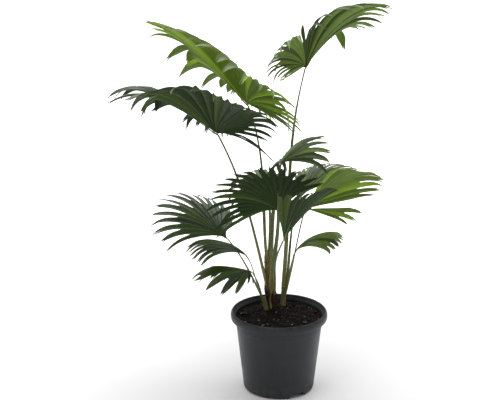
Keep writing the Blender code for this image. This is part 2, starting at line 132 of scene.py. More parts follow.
FRONDS = (
    Frond("top_right", "right", (0.0647, 0.160, 0.7838), 345, 54, 0.280, foot=(-0.001, 0.004, 0.040),
          stalk=(0.0040, 0.0026), depart=80, arrive=76, roll=-10, low=-145, high=145, fine=2.6,
          rises=(17, 36, 27, 20, 8, 9, 19, 23, 18), droops=(39, 51, 66, 113, 99, 77, 25, -10, -10),
          taper=0.66, skew=0.22, power=1.9, split=0.66, tones="mff",
          strays=((66, 85, 0.69, 0.85), (-31, -5, 0.42, 0.85), (-45, -40, 0.36, 0.5),
                  (-100, 35, 0.50, 0.65))),
    Frond("top_left", "main", (-0.0770, 0.040, 0.7156), 184, 50, 0.328, foot=(-0.004, 0.000, 0.125),
          stalk=(0.0040, 0.0028), depart=84, arrive=70, roll=12, fine=2.3,
          rises=(20, 16, 4, 0, 10, 18, 15), droops=(12, 30, 55, 38, 62, 20, 10), taper=0.56, power=2.6,
          split=0.67, tones="ffbf",
          strays=((-29, 35, 0.58, 0.75), (-37, 40, 0.62, 0.25), (-44, 40, 0.62, 0.3), (-51, 30, 0.6, 0.4),
                  (-58, 10, 0.67, 1.15), (-66, 25, 0.44, 0.75), (-73, 40, 0.5, 0.25), (-80, 40, 0.5, 0.3))),
    Frond("upper_left", "main", (-0.1495, 0.000, 0.6534), 206, 38, 0.318, foot=(-0.007, -0.001, 0.055),
          stalk=(0.0046, 0.0030), depart=76, arrive=62, roll=8, fine=2.0,
          rises=(20, 25, 15, 0, 16, 28, 12), droops=(20, 70, 80, 78, 50, 35, 15), taper=0.8, shortest=0.38,
          power=2.6, split=0.67, tones="dddm",
          strays=((5, 50, 0.56, 0.55), (-14, 30, 0.53, 0.55), (-52, 45, 0.53, 0.45), (-80, 40, 0.36, 0.45),
                  (136, 15, 0.36, 1.5), (145, 12, 0.40, 1.8))),
    Frond("upper_middle", "main", (0.0020, -0.010, 0.5838), 25, 42, 0.135, foot=(0.005, 0.000, 0.125),
          stalk=(0.0046, 0.0030), depart=84, arrive=78, low=-60, high=170,
          rises=(-8, -15, 0, -15, -8), droops=(90, 60, 50, 60, 90), taper=0, tones="mmf"),
    Frond("back_right", "right", (0.0529, 0.100, 0.4691), 15, 38, 0.180, foot=(0.005, 0.003, 0.030),
          stalk=(0.0030, 0.0022), depart=78, arrive=70, low=-45, high=80, count=14,
          rises=(8, 15, 0, 15, 8), droops=(55,) * 5, taper=0.1, tones="mf"),
    Frond("right", "right", (0.0631, 0.050, 0.4495), 326, 37, 0.248, foot=(0.004, -0.003, 0.026),
          stalk=(0.0030, 0.0022), depart=76, arrive=74, roll=-47, low=-32, high=48, count=12, fine=1.15,
          rises=(-15, -11, -10, -13, -16, -9, 3, -10, -23, -20, -9, 3, 14),
          droops=(62, 70, 72, 70, 57, 37, 43, -9, 6, 18, 25, 34, 44), taper=0.83, skew=-1.5,
          power=2.06, cleft=(22, 30), split=0.7, tones="fbf"),
    Frond("centre", "main", (-0.0046, -0.050, 0.4766), 266, 68, 0.165, foot=(0.002, -0.009, 0.050),
          stalk=(0.0050, 0.0034), depart=76, arrive=80, low=-124, high=48,
          rises=(5, 10, 0, 10, 5), droops=(20, 42, 50, 42, 20), taper=0, skew=-0.22, tip=0, split=0.62,
          tones="dddm"),
    Frond("front", "main", (0.0055, -0.145, 0.4340), 300, 62, 0.185, foot=(0.008, -0.006, 0.030),
          stalk=(0.0028, 0.0020), depart=62, arrive=56, low=-24, high=50, count=9,
          rises=(15, 29, 0, 29, 15), droops=(30,) * 5, split=0.75, tones="ddm"),
    Frond("middle_left", "left", (-0.1295, 0.062, 0.3710), 175, 33, 0.210, foot=(-0.002, 0.005, 0.022),
          stalk=(0.0030, 0.0021), depart=62, arrive=50, roll=-22, low=-110, high=45, count=16, fine=1.0,
          rises=(0,) * 5, droops=(40,) * 5, taper=1.0, skew=-0.3, costa=0.6, tones="mmd"),
    Frond("low_left", "left", (-0.0680, -0.010, 0.3085), 192, 15, 0.158, foot=(-0.003, -0.004, 0.016),
          stalk=(0.0026, 0.0019), depart=60, arrive=58, low=-95, high=115, count=10, fine=1.1,
          rises=(-8, -15, 0, -15, -8), droops=(45, 45, 45, 37, 32), taper=2.1, costa=0.7, tones="mmd"),
    Frond("inner_left", "left", (-0.0715, 0.026, 0.3210), 192, 82, 0.190, foot=(-0.001, 0.000, 0.028),
          stalk=(0.0024, 0.0018), depart=62, arrive=70, low=-24, high=34, count=6, fine=1.3,
          rises=(0,) * 5, droops=(100,) * 5, power=0.5, split=0.7, together=1, tip=40, tones="md"),
    Frond("low_right", "right", (0.0332, 0.030, 0.3271), 334, 88, 0.159, foot=(0.001, -0.006, 0.018),
          stalk=(0.0026, 0.0019), depart=70, arrive=78, roll=12, low=-34, high=34, count=5, fine=1.6,
          rises=(0,) * 5, droops=(104,) * 5, power=0.66, split=0.84, together=1, tip=21, tones="mf"),
    Frond("back", "main", (-0.0258, 0.192, 0.4530), 104, 35, 0.130, foot=(-0.001, 0.008, 0.080),
          stalk=(0.0036, 0.0024), depart=74, arrive=60, low=-105, high=105, count=12,
          rises=(3, 5, 0, 5, 3), taper=0.2, tones="mmd"),
)

# The tones that a frond draws from: deep, middle, fresh and bright. Deep is partly painted shade, fresh is
# partly painted light and painted sheen, and bright is painted light shining through the blade.
TONES = "dmfb"

# The torn sheaths round the trunk: how high each begins, its height, heading, arc and material.
SHEATHS = (
    (0.000, 0.060, 190, 210, 1), (0.004, 0.050, 300, 170, 1), (0.030, 0.055, 80, 230, 0),
    (0.045, 0.060, 215, 170, 0), (0.070, 0.062, 285, 150, 0), (0.085, 0.060, 150, 200, 0),
    (0.100, 0.062, 20, 190, 0))

# How a segment goes on past its split: its step in as a share of its width, over a share of its free
# length; the sag of each half for its width; the most of the way to hanging down that one step may take;
# and the share of segments that are broken.
NOTCH_DEPTH = 0.16
NOTCH_LENGTH = 0.12
HALF_SAG = 0.07
MOST_BEND = 0.35
BROKEN_SHARE = 0.03

# The share of a stalk that has teeth, how much smaller the last ones are, and the share that is missing.
TOOTHED_SHARE = 0.62
TOOTH_FADE = 0.55
MISSING_TEETH = 0.12

# How far the sheaths and fibres stand off the trunk, how much they wave, and the heights above the
# potting mix between which the sheaths turn green.
SHEATH_GAP = 0.0012
SHEATH_WAVE = 0.0006
GREEN_FROM, GREEN_TO = 0.150, 0.240

# The number of loose fibres on the potting mix, and how far what lies on it keeps from a stem's middle.
MIX_FIBRES = 150
STEM_CLEARANCE = 0.009

# The camera's sensor in millimetres.
SENSOR_WIDTH = 36

# Colours that no setting changes, as linear values.
DRY_TIP = (0.22, 0.13, 0.05)
TOOTH_TIP = (0.10, 0.045, 0.02)
DUST = (0.13, 0.115, 0.095)
SPECK = (0.16, 0.14, 0.12)


def length_property(name, description, default):
    """A length in metres for a property group."""
    return bpy.props.FloatProperty(name=name, description=description, default=default, min=0,
                                   unit="LENGTH", subtype="DISTANCE", precision=4)


def number_property(name, description, default):
    """A plain number for a property group."""
    return bpy.props.FloatProperty(name=name, description=description, default=default)


def colour_property(name, description, default):
    """A colour for a property group."""
    return bpy.props.FloatVectorProperty(name=name, description=description, default=default, size=3,
                                         min=0, max=1, subtype="COLOR", unit="NONE")


class PalmSizes(bpy.types.PropertyGroup):
    """The sizes and amounts of the plant's detail."""
    finer: number_property("Finer", "More or fewer segments in every blade", 1.0)
    leaf_thickness: length_property("Leaf thickness", "Thickness of a blade", 0.0006)
    pleat: number_property("Pleat", "Depth of a pleat for its width", 0.30)
    unruly: number_property("Unruly", "How far the free segments differ from one another", 1.0)
    tooth_length: length_property("Tooth length", "Length of a tooth on the thickest stalk", 0.0032)
    tooth_step: length_property("Tooth step", "Distance between the teeth on a stalk", 0.0065)
    fibres: bpy.props.IntProperty(name="Fibres", description="Loose fibres round the trunk", default=260)
    chips: bpy.props.IntProperty(name="Chips", description="Bark chips on the potting mix", default=1100)
    grains: bpy.props.IntProperty(name="Grains", description="Small grains on the potting mix", default=2600)
    pot_steps: bpy.props.IntProperty(name="Pot steps", description="Steps round the pot", default=160)


class PalmColours(bpy.types.PropertyGroup):
    """The plant's and the pot's colours, as linear values."""
    # Partly painted shade: the deep green is partly the blades' own deep green, and partly painted shade for
    # blades whose undersides lie in shade.
    deep: colour_property("Deep green", "The darkest blades", (0.022, 0.048, 0.008))
    middle: colour_property("Middle green", "Most blades", (0.055, 0.100, 0.018))
    # Partly painted light: the fresh green is partly the lighter green of younger blades, and partly painted
    # light through the top blades and painted sheen on them.
    fresh: colour_property("Fresh green", "Younger blades", (0.165, 0.245, 0.068))
    # Painted light: the bright green is the blade's green made much lighter to stand for light shining
    # through the blade.
    bright: colour_property("Bright green", "Blades that light shines through", (0.245, 0.360, 0.085))
    stalk: colour_property("Stalk", "The upper part of a stalk", (0.105, 0.140, 0.045))
    stalk_base: colour_property("Stalk base", "The lower part of a stalk", (0.330, 0.300, 0.105))
    sheath: colour_property("Sheath", "The pale foot of a young stem", (0.190, 0.235, 0.085))
    fibre: colour_property("Fibre", "Brown fibre on the trunk", (0.230, 0.125, 0.048))
    maroon: colour_property("Maroon", "Dark fibre near the soil", (0.060, 0.014, 0.012))
    pot: colour_property("Pot", "The plastic of the pot", (0.015, 0.019, 0.022))
    mix: colour_property("Potting mix", "Damp potting mix", (0.005, 0.0035, 0.0025))
    chip: colour_property("Chip", "Bark chips", (0.013, 0.0065, 0.004))
    floor: colour_property("Floor", "The studio floor", (0.90, 0.90, 0.90))


class PalmStage(bpy.types.PropertyGroup):
    """The camera and the lights."""
    distance: length_property("Camera distance", "How far the camera stands in front of the plant", 3.0)
    height: length_property("Camera height", "The camera's height above the floor", 1.381)
    aside: number_property("Camera aside", "The camera's place along X, in metres", -0.0722)
    tilt: number_property("Camera tilt", "The camera's tilt from straight down, in degrees", 73.43)
    lens: number_property("Lens", "Focal length in millimetres on a 36 mm sensor", 93.0)
    key: number_property("Key light", "Power of the main light in watts", 22.0)
    top: number_property("Top light", "Power of the light above the plant in watts", 48.0)
    back: number_property("Back light", "Power of the light behind the plant in watts", 330.0)
    sky: number_property("Sky", "Strength of the light from all round", 0.42)
    glow: number_property("Glow", "How much whiter the floor looks far from the plant", 0.7)


# Geometry that the operators share.

def unit(vectors):
    """The same vectors at length 1."""
    return vectors / np.maximum(np.linalg.norm(vectors, axis=-1, keepdims=True), 1e-12)


def direction(heading, pitch):
    """A unit vector from its heading, counted from +X, and its pitch above level."""
    h, p = math.radians(heading), math.radians(pitch)
    return np.array([math.cos(h) * math.cos(p), math.sin(h) * math.cos(p), math.sin(p)])


def polar(radius, turn):
    """X and Y at a radius and an angle in radians."""
    return radius * math.cos(turn), radius * math.sin(turn)


def turned(vectors, axes, angles):
    """Vectors turned about unit axes by angles in radians."""
    c, s = np.cos(angles), np.sin(angles)
    c, s = (np.expand_dims(c, -1), np.expand_dims(s, -1)) if np.ndim(angles) else (c, s)
    along = np.sum(axes * vectors, axis=-1, keepdims=True)
    return vectors * c + np.cross(axes, vectors) * s + axes * along * (1 - c)


def turning(axis, angle):
    """The 3 by 3 matrix that turns about a unit axis."""
    return np.array([turned(row, axis, angle) for row in np.eye(3)]).T


def at_stations(values, degrees):
    """Eases between values that are given at equal steps from -150 to 150 degrees."""
    last = len(values) - 1
    place = np.clip((np.asarray(degrees, float) / FULL_SPREAD + 1) / 2 * last, 0, last)
    low = np.minimum(place.astype(int), last - 1)
    ease = (place - low) ** 2 * (3 - 2 * (place - low))
    values = np.array(values, float)
    return values[low] * (1 - ease) + values[low + 1] * ease


class Fan:
    """The ribs of one blade, as paths from its hub."""

    def __init__(self, frond):
        self.frond = frond
        self.hub = np.array(frond.hub)
        self.x = direction(frond.heading, frond.pitch)
        up = np.array([0.0, 0.0, 1.0])
        self.z = turned(unit(up - (up @ self.x) * self.x), self.x, math.radians(frond.roll))
        self.y = np.cross(self.z, self.x)
        self.down = unit(-up + HANG_OUTWARD * direction(frond.heading, 0))

    def start(self, degrees):
        """The ribs' first directions, for their angles from the leaf's middle line."""
        angles, rises = np.radians(degrees), np.radians(at_stations(self.frond.rises, degrees))
        flat = np.cos(angles)[:, None] * self.x + np.sin(angles)[:, None] * self.y
        return flat * np.cos(rises)[:, None] + np.sin(rises)[:, None] * self.z

    def ribs(self, degrees):
        """Points along the ribs at these angles: ribs by STEPS + 1 by 3."""
        frond, degrees = self.frond, np.asarray(degrees, float)
        reach = degrees / FULL_SPREAD
        lengths = frond.radius * np.maximum(frond.shortest, 1 - frond.taper * reach ** 2 + frond.skew * reach)
        level = np.maximum(frond.together, np.sqrt(np.maximum(0.0, 1 - self.start(degrees)[:, 2] ** 2)))
        droop = at_stations(frond.droops, degrees) * (DROOP_WHEN_UPRIGHT + (1 - DROOP_WHEN_UPRIGHT) * level)
        points = [np.tile(self.hub, (len(degrees), 1))]
        for step in range(STEPS):
            t = (step + 0.5) / STEPS
            free = max(0.0, (t - frond.split) / (1 - frond.split))
            bend = np.radians(droop * t ** frond.power + frond.tip * free ** TIP_POWER)
            spread = 1 - frond.costa * max(0.0, 1 - t / COSTA_END) ** 2
            heading = self.start(degrees * spread)
            axis = np.cross(heading, self.down)
            furthest = np.arctan2(np.linalg.norm(axis, axis=1), heading @ self.down)
            axis = unit(unit(axis) * (1 - frond.together) + self.y * frond.together)
            way = turned(heading, axis, np.minimum(bend, BEND_LIMIT * furthest))
            points.append(points[-1] + way * (lengths / STEPS)[:, None])
        return np.swapaxes(np.array(points), 0, 1)


def stem_point(stem, height):
    """A point on a stem's middle line."""
    share = height / stem.height
    return np.array([stem.place[0] + stem.lean[0] * share, stem.place[1] + stem.lean[1] * share,
                     SOIL_LEVEL + height])


def stem_radius(stem, height):
    """A stem's radius at a height above the potting mix."""
    return float(np.interp(height, np.linspace(0, stem.height, len(stem.radii)), stem.radii))


def stalk_line(frond, count):
    """A stalk's middle line, from the stem to the hub."""
    stem = STEMS[frond.stem]
    foot = stem_point(stem, frond.foot[2]) + (frond.foot[0], frond.foot[1], 0)
    way = direction(frond.heading, frond.arrive)
    end = np.array(frond.hub) - way * STUB_LENGTH * 0.3
    reach = np.linalg.norm(end - foot)
    level = math.degrees(math.atan2(end[1] - foot[1], end[0] - foot[0]))
    first = foot + direction(level, frond.depart) * reach * LEAVE_REACH
    second = end - way * reach * ARRIVE_REACH
    t = np.linspace(0, 1, count)[:, None]
    return (1 - t) ** 3 * foot + 3 * (1 - t) ** 2 * t * first + 3 * (1 - t) * t * t * second + t ** 3 * end


def ring_faces(rings, around, first, start, end):
    """The faces of a closed form: rings of points numbered from first, and one point at each end."""
    faces = []
    for k in range(around):
        after = (k + 1) % around
        top = first + (rings - 1) * around
        faces += [(start, first + after, first + k), (end, top + k, top + after)]
        for ring in range(rings - 1):
            a, b = first + ring * around + k, first + ring * around + after
            faces.append((a, b, b + around, a + around))
    return faces


class Shapes:
    """Collects the points, faces, tints and UV places of many small shapes for one mesh."""

    def __init__(self):
        self.points, self.faces, self.tints, self.places, self.count = [], [], [], [], 0

    def add(self, points, faces, tint=0, places=None):
        """Adds one shape. places gives the UV place of each of its points."""
        points = np.asarray(points, float)
        self.points.append(points)
        self.faces += [tuple(self.count + corner for corner in face) for face in faces]
        self.tints += [tint] * len(faces)
        if places is None:
            places = np.zeros((len(points), 2))
        self.places += [tuple(places[corner]) for face in faces for corner in face]
        self.count += len(points)

    def tube(self, path, radii, sides, tint=0):
        """Adds a closed tube that ends in points."""
        path = np.asarray(path, float)
        along = unit(np.gradient(path, axis=0))
        side = unit(np.cross(along[0], (0.3, 0.5, 0.81)))
        points, places = [path[0]], [(0.5, 0.0)]
        for number, (place, way, radius) in enumerate(zip(path[1:-1], along[1:-1], radii[1:-1])):
            side = unit(side - (side @ way) * way)
            other = np.cross(way, side)
            for k in range(sides):
                turn = 2 * math.pi * k / sides
                points.append(place + radius * (math.cos(turn) * side + math.sin(turn) * other))
                places.append((k / sides, (number + 1) / (len(path) - 1)))
        points.append(path[-1])
        places.append((0.5, 1.0))
        faces = ring_faces(len(path) - 2, sides, 1, 0, len(points) - 1)
        self.add(points, faces, tint, np.array(places))

    def build(self, name, materials):
        """Makes the mesh object, selected and active."""
        mesh = bpy.data.meshes.new(name)
        mesh.from_pydata(np.vstack(self.points), [], self.faces)
        mesh.polygons.foreach_set("material_index", self.tints)
        layer = mesh.uv_layers.new(name="UVMap")
        layer.data.foreach_set("uv", np.array(self.places, np.float32).ravel())
        for material in materials:
            mesh.materials.append(material)
        mesh.validate()
        made = bpy.data.objects.new(name, mesh)
        bpy.context.scene.collection.objects.link(made)
        choose(made)
        return made


def choose(thing):
    """Makes one object the only selected one, and active."""
    if bpy.context.object and bpy.context.object.mode != "OBJECT":
        bpy.ops.object.mode_set(mode="OBJECT")
    bpy.ops.object.select_all(action="DESELECT")
    thing.select_set(True)
    bpy.context.view_layer.objects.active = thing


def modify(thing, kind, **settings):
    """Adds a modifier with these settings and applies it."""
    choose(thing)
    bpy.ops.object.modifier_add(type=kind)
    modifier = thing.modifiers[-1]
    for key, value in settings.items():
        setattr(modifier, key, value)
    bpy.ops.object.modifier_apply(modifier=modifier.name)


def smooth(thing, degrees=40):
    """Shades an object smooth up to this angle between faces."""
    choose(thing)
    bpy.ops.object.shade_smooth_by_angle(angle=math.radians(degrees))


def outward(thing):
    """Turns every face of a closed mesh outward."""
    choose(thing)
    bpy.ops.object.mode_set(mode="EDIT")
    bpy.ops.mesh.select_all(action="SELECT")
    bpy.ops.mesh.normals_make_consistent(inside=False)
    bpy.ops.object.mode_set(mode="OBJECT")


def hand_over(thing, slot, *nodes):
    """Gives a finished piece its body and hides the nodes that it stands for. The slot is not used."""
    if not thing.data.polygons:
        raise RuntimeError(f"{thing.name} has no faces")
    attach(thing, "root")
    if nodes:
        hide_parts(*nodes)


# Materials.

class Tree:
    """A node tree with short ways to add to it."""

    def __init__(self, tree):
        self.tree = tree

    def add(self, kind, inputs=(), **settings):
        """Adds a node, sets its properties and fills or links its inputs."""
        node = self.tree.nodes.new(kind)
        for key, value in settings.items():
            setattr(node, key, value)
        for key, value in dict(inputs).items():
            self.fill(node.inputs[key], value)
        return node

    def fill(self, socket, value):
        """Links a socket or a node's first output into an input, or sets its value."""
        if isinstance(value, bpy.types.Node):
            value = value.outputs[0]
        if isinstance(value, bpy.types.NodeSocket):
            self.tree.links.new(value, socket)
        elif hasattr(socket.default_value, "__len__") and not hasattr(value, "__len__"):
            socket.default_value = [value] * len(socket.default_value)
        elif hasattr(socket.default_value, "__len__") and len(value) < len(socket.default_value):
            socket.default_value = (*value, 1)
        else:
            socket.default_value = value

    def math(self, operation, a, b=0.0, c=0.0, clamp=False):
        """A Math node."""
        return self.add("ShaderNodeMath", {0: a, 1: b, 2: c}, operation=operation, use_clamp=clamp)

    def spread(self, value, low, high, to_low=0.0, to_high=1.0):
        """A clamped smooth Map Range node."""
        return self.add("ShaderNodeMapRange",
                        {"Value": value, "From Min": low, "From Max": high, "To Min": to_low,
                         "To Max": to_high}, interpolation_type="SMOOTHSTEP")

    def mix(self, factor, a, b):
        """The result socket of a colour mix."""
        node = self.add("ShaderNodeMix", data_type="RGBA")
        self.fill(node.inputs[0], factor)
        self.fill(node.inputs[6], a)
        self.fill(node.inputs[7], b)
        return node.outputs[2]

    def noise(self, vector, scale, detail=3.0, roughness=0.55):
        """The value of a noise texture."""
        return self.add("ShaderNodeTexNoise",
                        {"Vector": vector, "Scale": scale, "Detail": detail, "Roughness": roughness})

    def stretched(self, vector, scale):
        """A vector scaled by a Mapping node."""
        return self.add("ShaderNodeMapping", {"Vector": vector, "Scale": scale})

    def place(self):
        """The point in the object's own coordinates."""
        return self.add("ShaderNodeTexCoord").outputs["Object"]

    def mottle(self, broad=9.0, small=90.0):
        """The outputs of the shared clouds, at these two scales."""
        return self.add("ShaderNodeGroup", {"Broad": broad, "Small": small}, node_tree=mottle_group()).outputs

    def over(self, base, colour, mask, share):
        """A colour laid over a base by a share of a mask."""
        return self.mix(self.math("MULTIPLY", mask, share), base, colour)

    def surface(self, shader, base, rough, height, strength, distance):
        """Gives a Principled node its colour, its roughness and its bump."""
        bump = self.add("ShaderNodeBump", {"Height": height, "Strength": strength, "Distance": distance})
        for key, value in (("Base Color", base), ("Roughness", rough), ("Normal", bump)):
            self.fill(shader.inputs[key], value)


def group(name, inputs, outputs, fill):
    """A node group, made once: fill(tree, inputs node) returns what goes to each output."""
    if name in bpy.data.node_groups:
        return bpy.data.node_groups[name]
    made = bpy.data.node_groups.new(name, "ShaderNodeTree")
    for label, kind, default in inputs:
        socket = made.interface.new_socket(label, in_out="INPUT", socket_type=kind)
        if default is not None:
            socket.default_value = default
    for label, kind in outputs:
        made.interface.new_socket(label, in_out="OUTPUT", socket_type=kind)
    tree = Tree(made)
    start = tree.add("NodeGroupInput")
    end = tree.add("NodeGroupOutput")
    for label, value in fill(tree, start).items():
        tree.fill(end.inputs[label], value)
    return made


def mottle_group():
    """Two scales of soft cloud in object space, for uneven colour and wear."""
    def fill(tree, start):
        place = tree.place()
        broad = tree.noise(place, start.outputs["Broad"], 2.0)
        small = tree.noise(place, start.outputs["Small"], 5.0, 0.65)
        both = tree.math("MULTIPLY_ADD", small, 0.5, tree.math("MULTIPLY", broad, 0.5))
        return {"Cloud": tree.spread(both, 0.36, 0.64), "Grain": tree.spread(small, 0.35, 0.65)}
    return group("Mottle", (("Broad", "NodeSocketFloat", 9.0), ("Small", "NodeSocketFloat", 90.0)),
                 (("Cloud", "NodeSocketFloat"), ("Grain", "NodeSocketFloat")), fill)


def veins_group():
    """The veins of a palm segment from its UV map: the rib, the fine veins and the dry tip."""
    def fill(tree, _start):
        place = tree.add("ShaderNodeUVMap", uv_map="UVMap")
        parts = tree.add("ShaderNodeSeparateXYZ", {"Vector": place})
        aside = tree.math("ABSOLUTE", tree.math("SUBTRACT", parts.outputs[0], 0.5))
        rib = tree.spread(aside, 0.012, 0.05, 1.0, 0.0)
        wave = tree.math("SINE", tree.math("MULTIPLY", parts.outputs[0], 2 * math.pi * 13))
        streak = tree.noise(tree.stretched(place, (60.0, 1.6, 1.0)), 1.0, 2.0)
        fine = tree.math("MULTIPLY_ADD", wave, 0.22, streak, clamp=True)
        tip = tree.spread(tree.math("MULTIPLY_ADD", streak, 0.10, parts.outputs[1]), 1.00, 1.05)
        return {"Rib": rib, "Fine": fine, "Tip": tip}
    return group("Veins", (), [(label, "NodeSocketFloat") for label in ("Rib", "Fine", "Tip")], fill)


def new_material(name, roughness=0.5, **plain):
    """A material with its tree and Principled node."""
    material = bpy.data.materials.new(name)
    material.use_nodes = True
    tree = Tree(material.node_tree)
    shader = material.node_tree.nodes["Principled BSDF"]
    shader.inputs["Roughness"].default_value = roughness
    for key, value in plain.items():
        shader.inputs[key].default_value = value
    return material, tree, shader


def leaf_material(name, colour, through_share, under):
    """One side of a blade: veined, mottled, waxy above and dull below, with light coming through."""
    material, tree, shader = new_material(name)
    veins, mottle = tree.add("ShaderNodeGroup", node_tree=veins_group()).outputs, tree.mottle(11.0, 70.0)
    colour = np.array(colour)
    if under:
        colour = colour * (1.10, 1.08, 1.2) + 0.002
    base = tree.mix(mottle["Cloud"], colour * 0.80, colour * 1.18)
    base = tree.over(base, colour * (1.45, 1.3, 1.1), veins["Fine"], 0.45)
    base = tree.over(base, colour * (1.75, 1.45, 1.5) + 0.006, veins["Rib"], 0.75 if under else 0.5)
    base = tree.over(base, DRY_TIP, veins["Tip"], 0.7)
    relief = tree.math("MULTIPLY_ADD", veins["Rib"], 1.2, veins["Fine"])
    rough = tree.spread(mottle["Grain"], 0.0, 1.0, 0.50 if under else 0.36, 0.62 if under else 0.48)
    tree.surface(shader, base, rough, relief, 0.30, 0.0004)
    shader.inputs["Specular IOR Level"].default_value = 0.25 if under else 0.45
    shader.inputs["Coat Weight"].default_value = 0.0 if under else 0.45
    shader.inputs["Coat Roughness"].default_value = 0.32
    glow = tree.mix(0.5, base, tuple(np.minimum(colour * (3.0, 2.6, 1.3), 1)))
    through = tree.add("ShaderNodeBsdfTranslucent", {"Color": glow})
    both = tree.add("ShaderNodeMixShader", {0: through_share, 1: shader.outputs[0], 2: through})
    tree.fill(material.node_tree.nodes["Material Output"].inputs["Surface"], both)
    return material


def stalk_material(colours):
    """The stalks: green above, yellower below, with long streaks."""
    material, tree, shader = new_material("stalk_skin")
    share = tree.add("ShaderNodeAttribute", attribute_name="along").outputs["Fac"]
    streak = tree.noise(tree.stretched(tree.place(), (420.0, 420.0, 14.0)), 1.0, 4.0)
    mottle = tree.mottle(22.0, 160.0)
    green, yellow = np.array(colours.stalk), np.array(colours.stalk_base)
    uneven = tree.math("MULTIPLY_ADD", mottle["Cloud"], 0.16, share)
    high = tree.mix(tree.spread(streak, 0.35, 0.7), green * 0.75, green * 1.35)
    low = tree.mix(tree.spread(streak, 0.35, 0.7), yellow * 0.7, yellow)
    base = tree.mix(tree.spread(uneven, 0.16, 0.66), low, high)
    brown = tree.math("MULTIPLY", tree.spread(uneven, 0.04, 0.24, 1.0, 0.0), tree.spread(streak, 0.46, 0.60))
    base = tree.over(base, np.array(colours.fibre) * 0.7, brown, 0.6)
    tree.surface(shader, base, tree.spread(mottle["Grain"], 0.0, 1.0, 0.32, 0.5), streak, 0.35, 0.0005)
    return material


def tooth_material(colours):
    """The teeth of the stalks: green at the foot and brown at the tip."""
    material, tree, shader = new_material("tooth_horn", 0.4)
    parts = tree.add("ShaderNodeSeparateXYZ", {"Vector": tree.add("ShaderNodeUVMap", uv_map="UVMap")})
    share = tree.math("MULTIPLY_ADD", tree.mottle()["Grain"], 0.2, parts.outputs[1])
    base = tree.mix(tree.spread(share, 0.35, 1.0), np.array(colours.stalk) * 1.1, TOOTH_TIP)
    tree.fill(shader.inputs["Base Color"], base)
    return material


def fibre_material(name, light, dark, pale=0.0, green=None):
    """Fibrous sheath: long upright streaks between two colours, and green streaks higher up."""
    material, tree, shader = new_material(name, 0.8)
    place, mottle = tree.place(), tree.mottle(34.0, 220.0)
    streak = tree.noise(tree.stretched(place, (520.0, 520.0, 26.0)), 1.0, 5.0, 0.6)
    weave = tree.noise(tree.stretched(place, (240.0, 240.0, 70.0)), 1.0, 3.0)
    light, dark = np.array(light), np.array(dark)
    base = tree.mix(tree.spread(streak, 0.36, 0.64), dark, light)
    base = tree.over(base, dark * 0.7 + light * 0.25, mottle["Cloud"], 0.5)
    base = tree.over(base, light * 1.8 + 0.03, tree.spread(weave, 0.6, 0.75), pale)
    if green is not None:
        up = tree.add("ShaderNodeSeparateXYZ", {"Vector": place}).outputs[2]
        young = tree.math("MULTIPLY_ADD", streak, 0.16, up)
        base = tree.mix(tree.spread(young, SOIL_LEVEL + GREEN_FROM, SOIL_LEVEL + GREEN_TO), base, green)
    relief = tree.math("MULTIPLY_ADD", weave, 0.5, streak)
    tree.surface(shader, base, tree.spread(mottle["Grain"], 0.0, 1.0, 0.65, 0.95), relief, 0.8, 0.0012)
    return material


def plastic_material(colours):
    """The pot: moulded plastic with a fine grain, dusty patches, faint drag lines and a scuffed rim."""
    material, tree, shader = new_material("pot_plastic")
    shader.inputs["Specular IOR Level"].default_value = 0.36
    place, mottle = tree.place(), tree.mottle(13.0, 60.0)
    grain = tree.noise(place, 900.0, 2.0)
    drag = tree.noise(tree.stretched(place, (90.0, 90.0, 4.0)), 1.0, 4.0)
    up = tree.add("ShaderNodeSeparateXYZ", {"Vector": place}).outputs[2]
    rim = tree.spread(up, POT_HEIGHT - 0.012, POT_HEIGHT)
    low = tree.spread(up, 0.002, 0.045, 1.0, 0.0)
    colour = np.array(colours.pot)
    base = tree.mix(mottle["Cloud"], colour * 0.86, colour * 1.14)
    base = tree.over(base, colour * 1.7, tree.spread(drag, 0.5, 0.75), 0.22)
    dust = tree.math("MULTIPLY", tree.math("MAXIMUM", low, tree.math("MULTIPLY", rim, 0.7)), mottle["Grain"])
    base = tree.over(base, DUST, dust, 0.25)
    base = tree.over(base, SPECK, tree.spread(tree.noise(place, 420.0, 2.0), 0.70, 0.76), 0.22)
    rough = tree.math("MULTIPLY_ADD", dust, 0.25, tree.spread(mottle["Cloud"], 0.0, 1.0, 0.36, 0.46))
    tree.surface(shader, base, rough, tree.math("MULTIPLY_ADD", drag, 0.6, grain), 0.16, 0.0004)
    return material


def earth_material(name, colour, light):
    """Damp crumbs: dark, uneven and rough."""
    material, tree, shader = new_material(name, 0.9)
    shader.inputs["Specular IOR Level"].default_value = 0.18
    mottle = tree.mottle(60.0, 420.0)
    crumb = tree.noise(tree.place(), 260.0, 6.0, 0.7)
    colour = np.array(colour)
    base = tree.mix(mottle["Cloud"], colour * 0.55, colour * 1.3)
    base = tree.over(base, light, tree.spread(crumb, 0.58, 0.72), 0.6)
    tree.surface(shader, base, tree.spread(mottle["Grain"], 0.0, 1.0, 0.72, 0.98), crumb, 0.9, 0.0015)
    return material


# The pieces.

def frames_along(centre, left, right):
    """At each row of a segment, the way along it, across it and out of its face, as columns."""
    along = unit(np.gradient(centre, axis=0))
    across = right - left
    across = unit(across - np.sum(across * along, axis=1, keepdims=True) * along)
    return np.stack([along, across, np.cross(along, across)], axis=2)


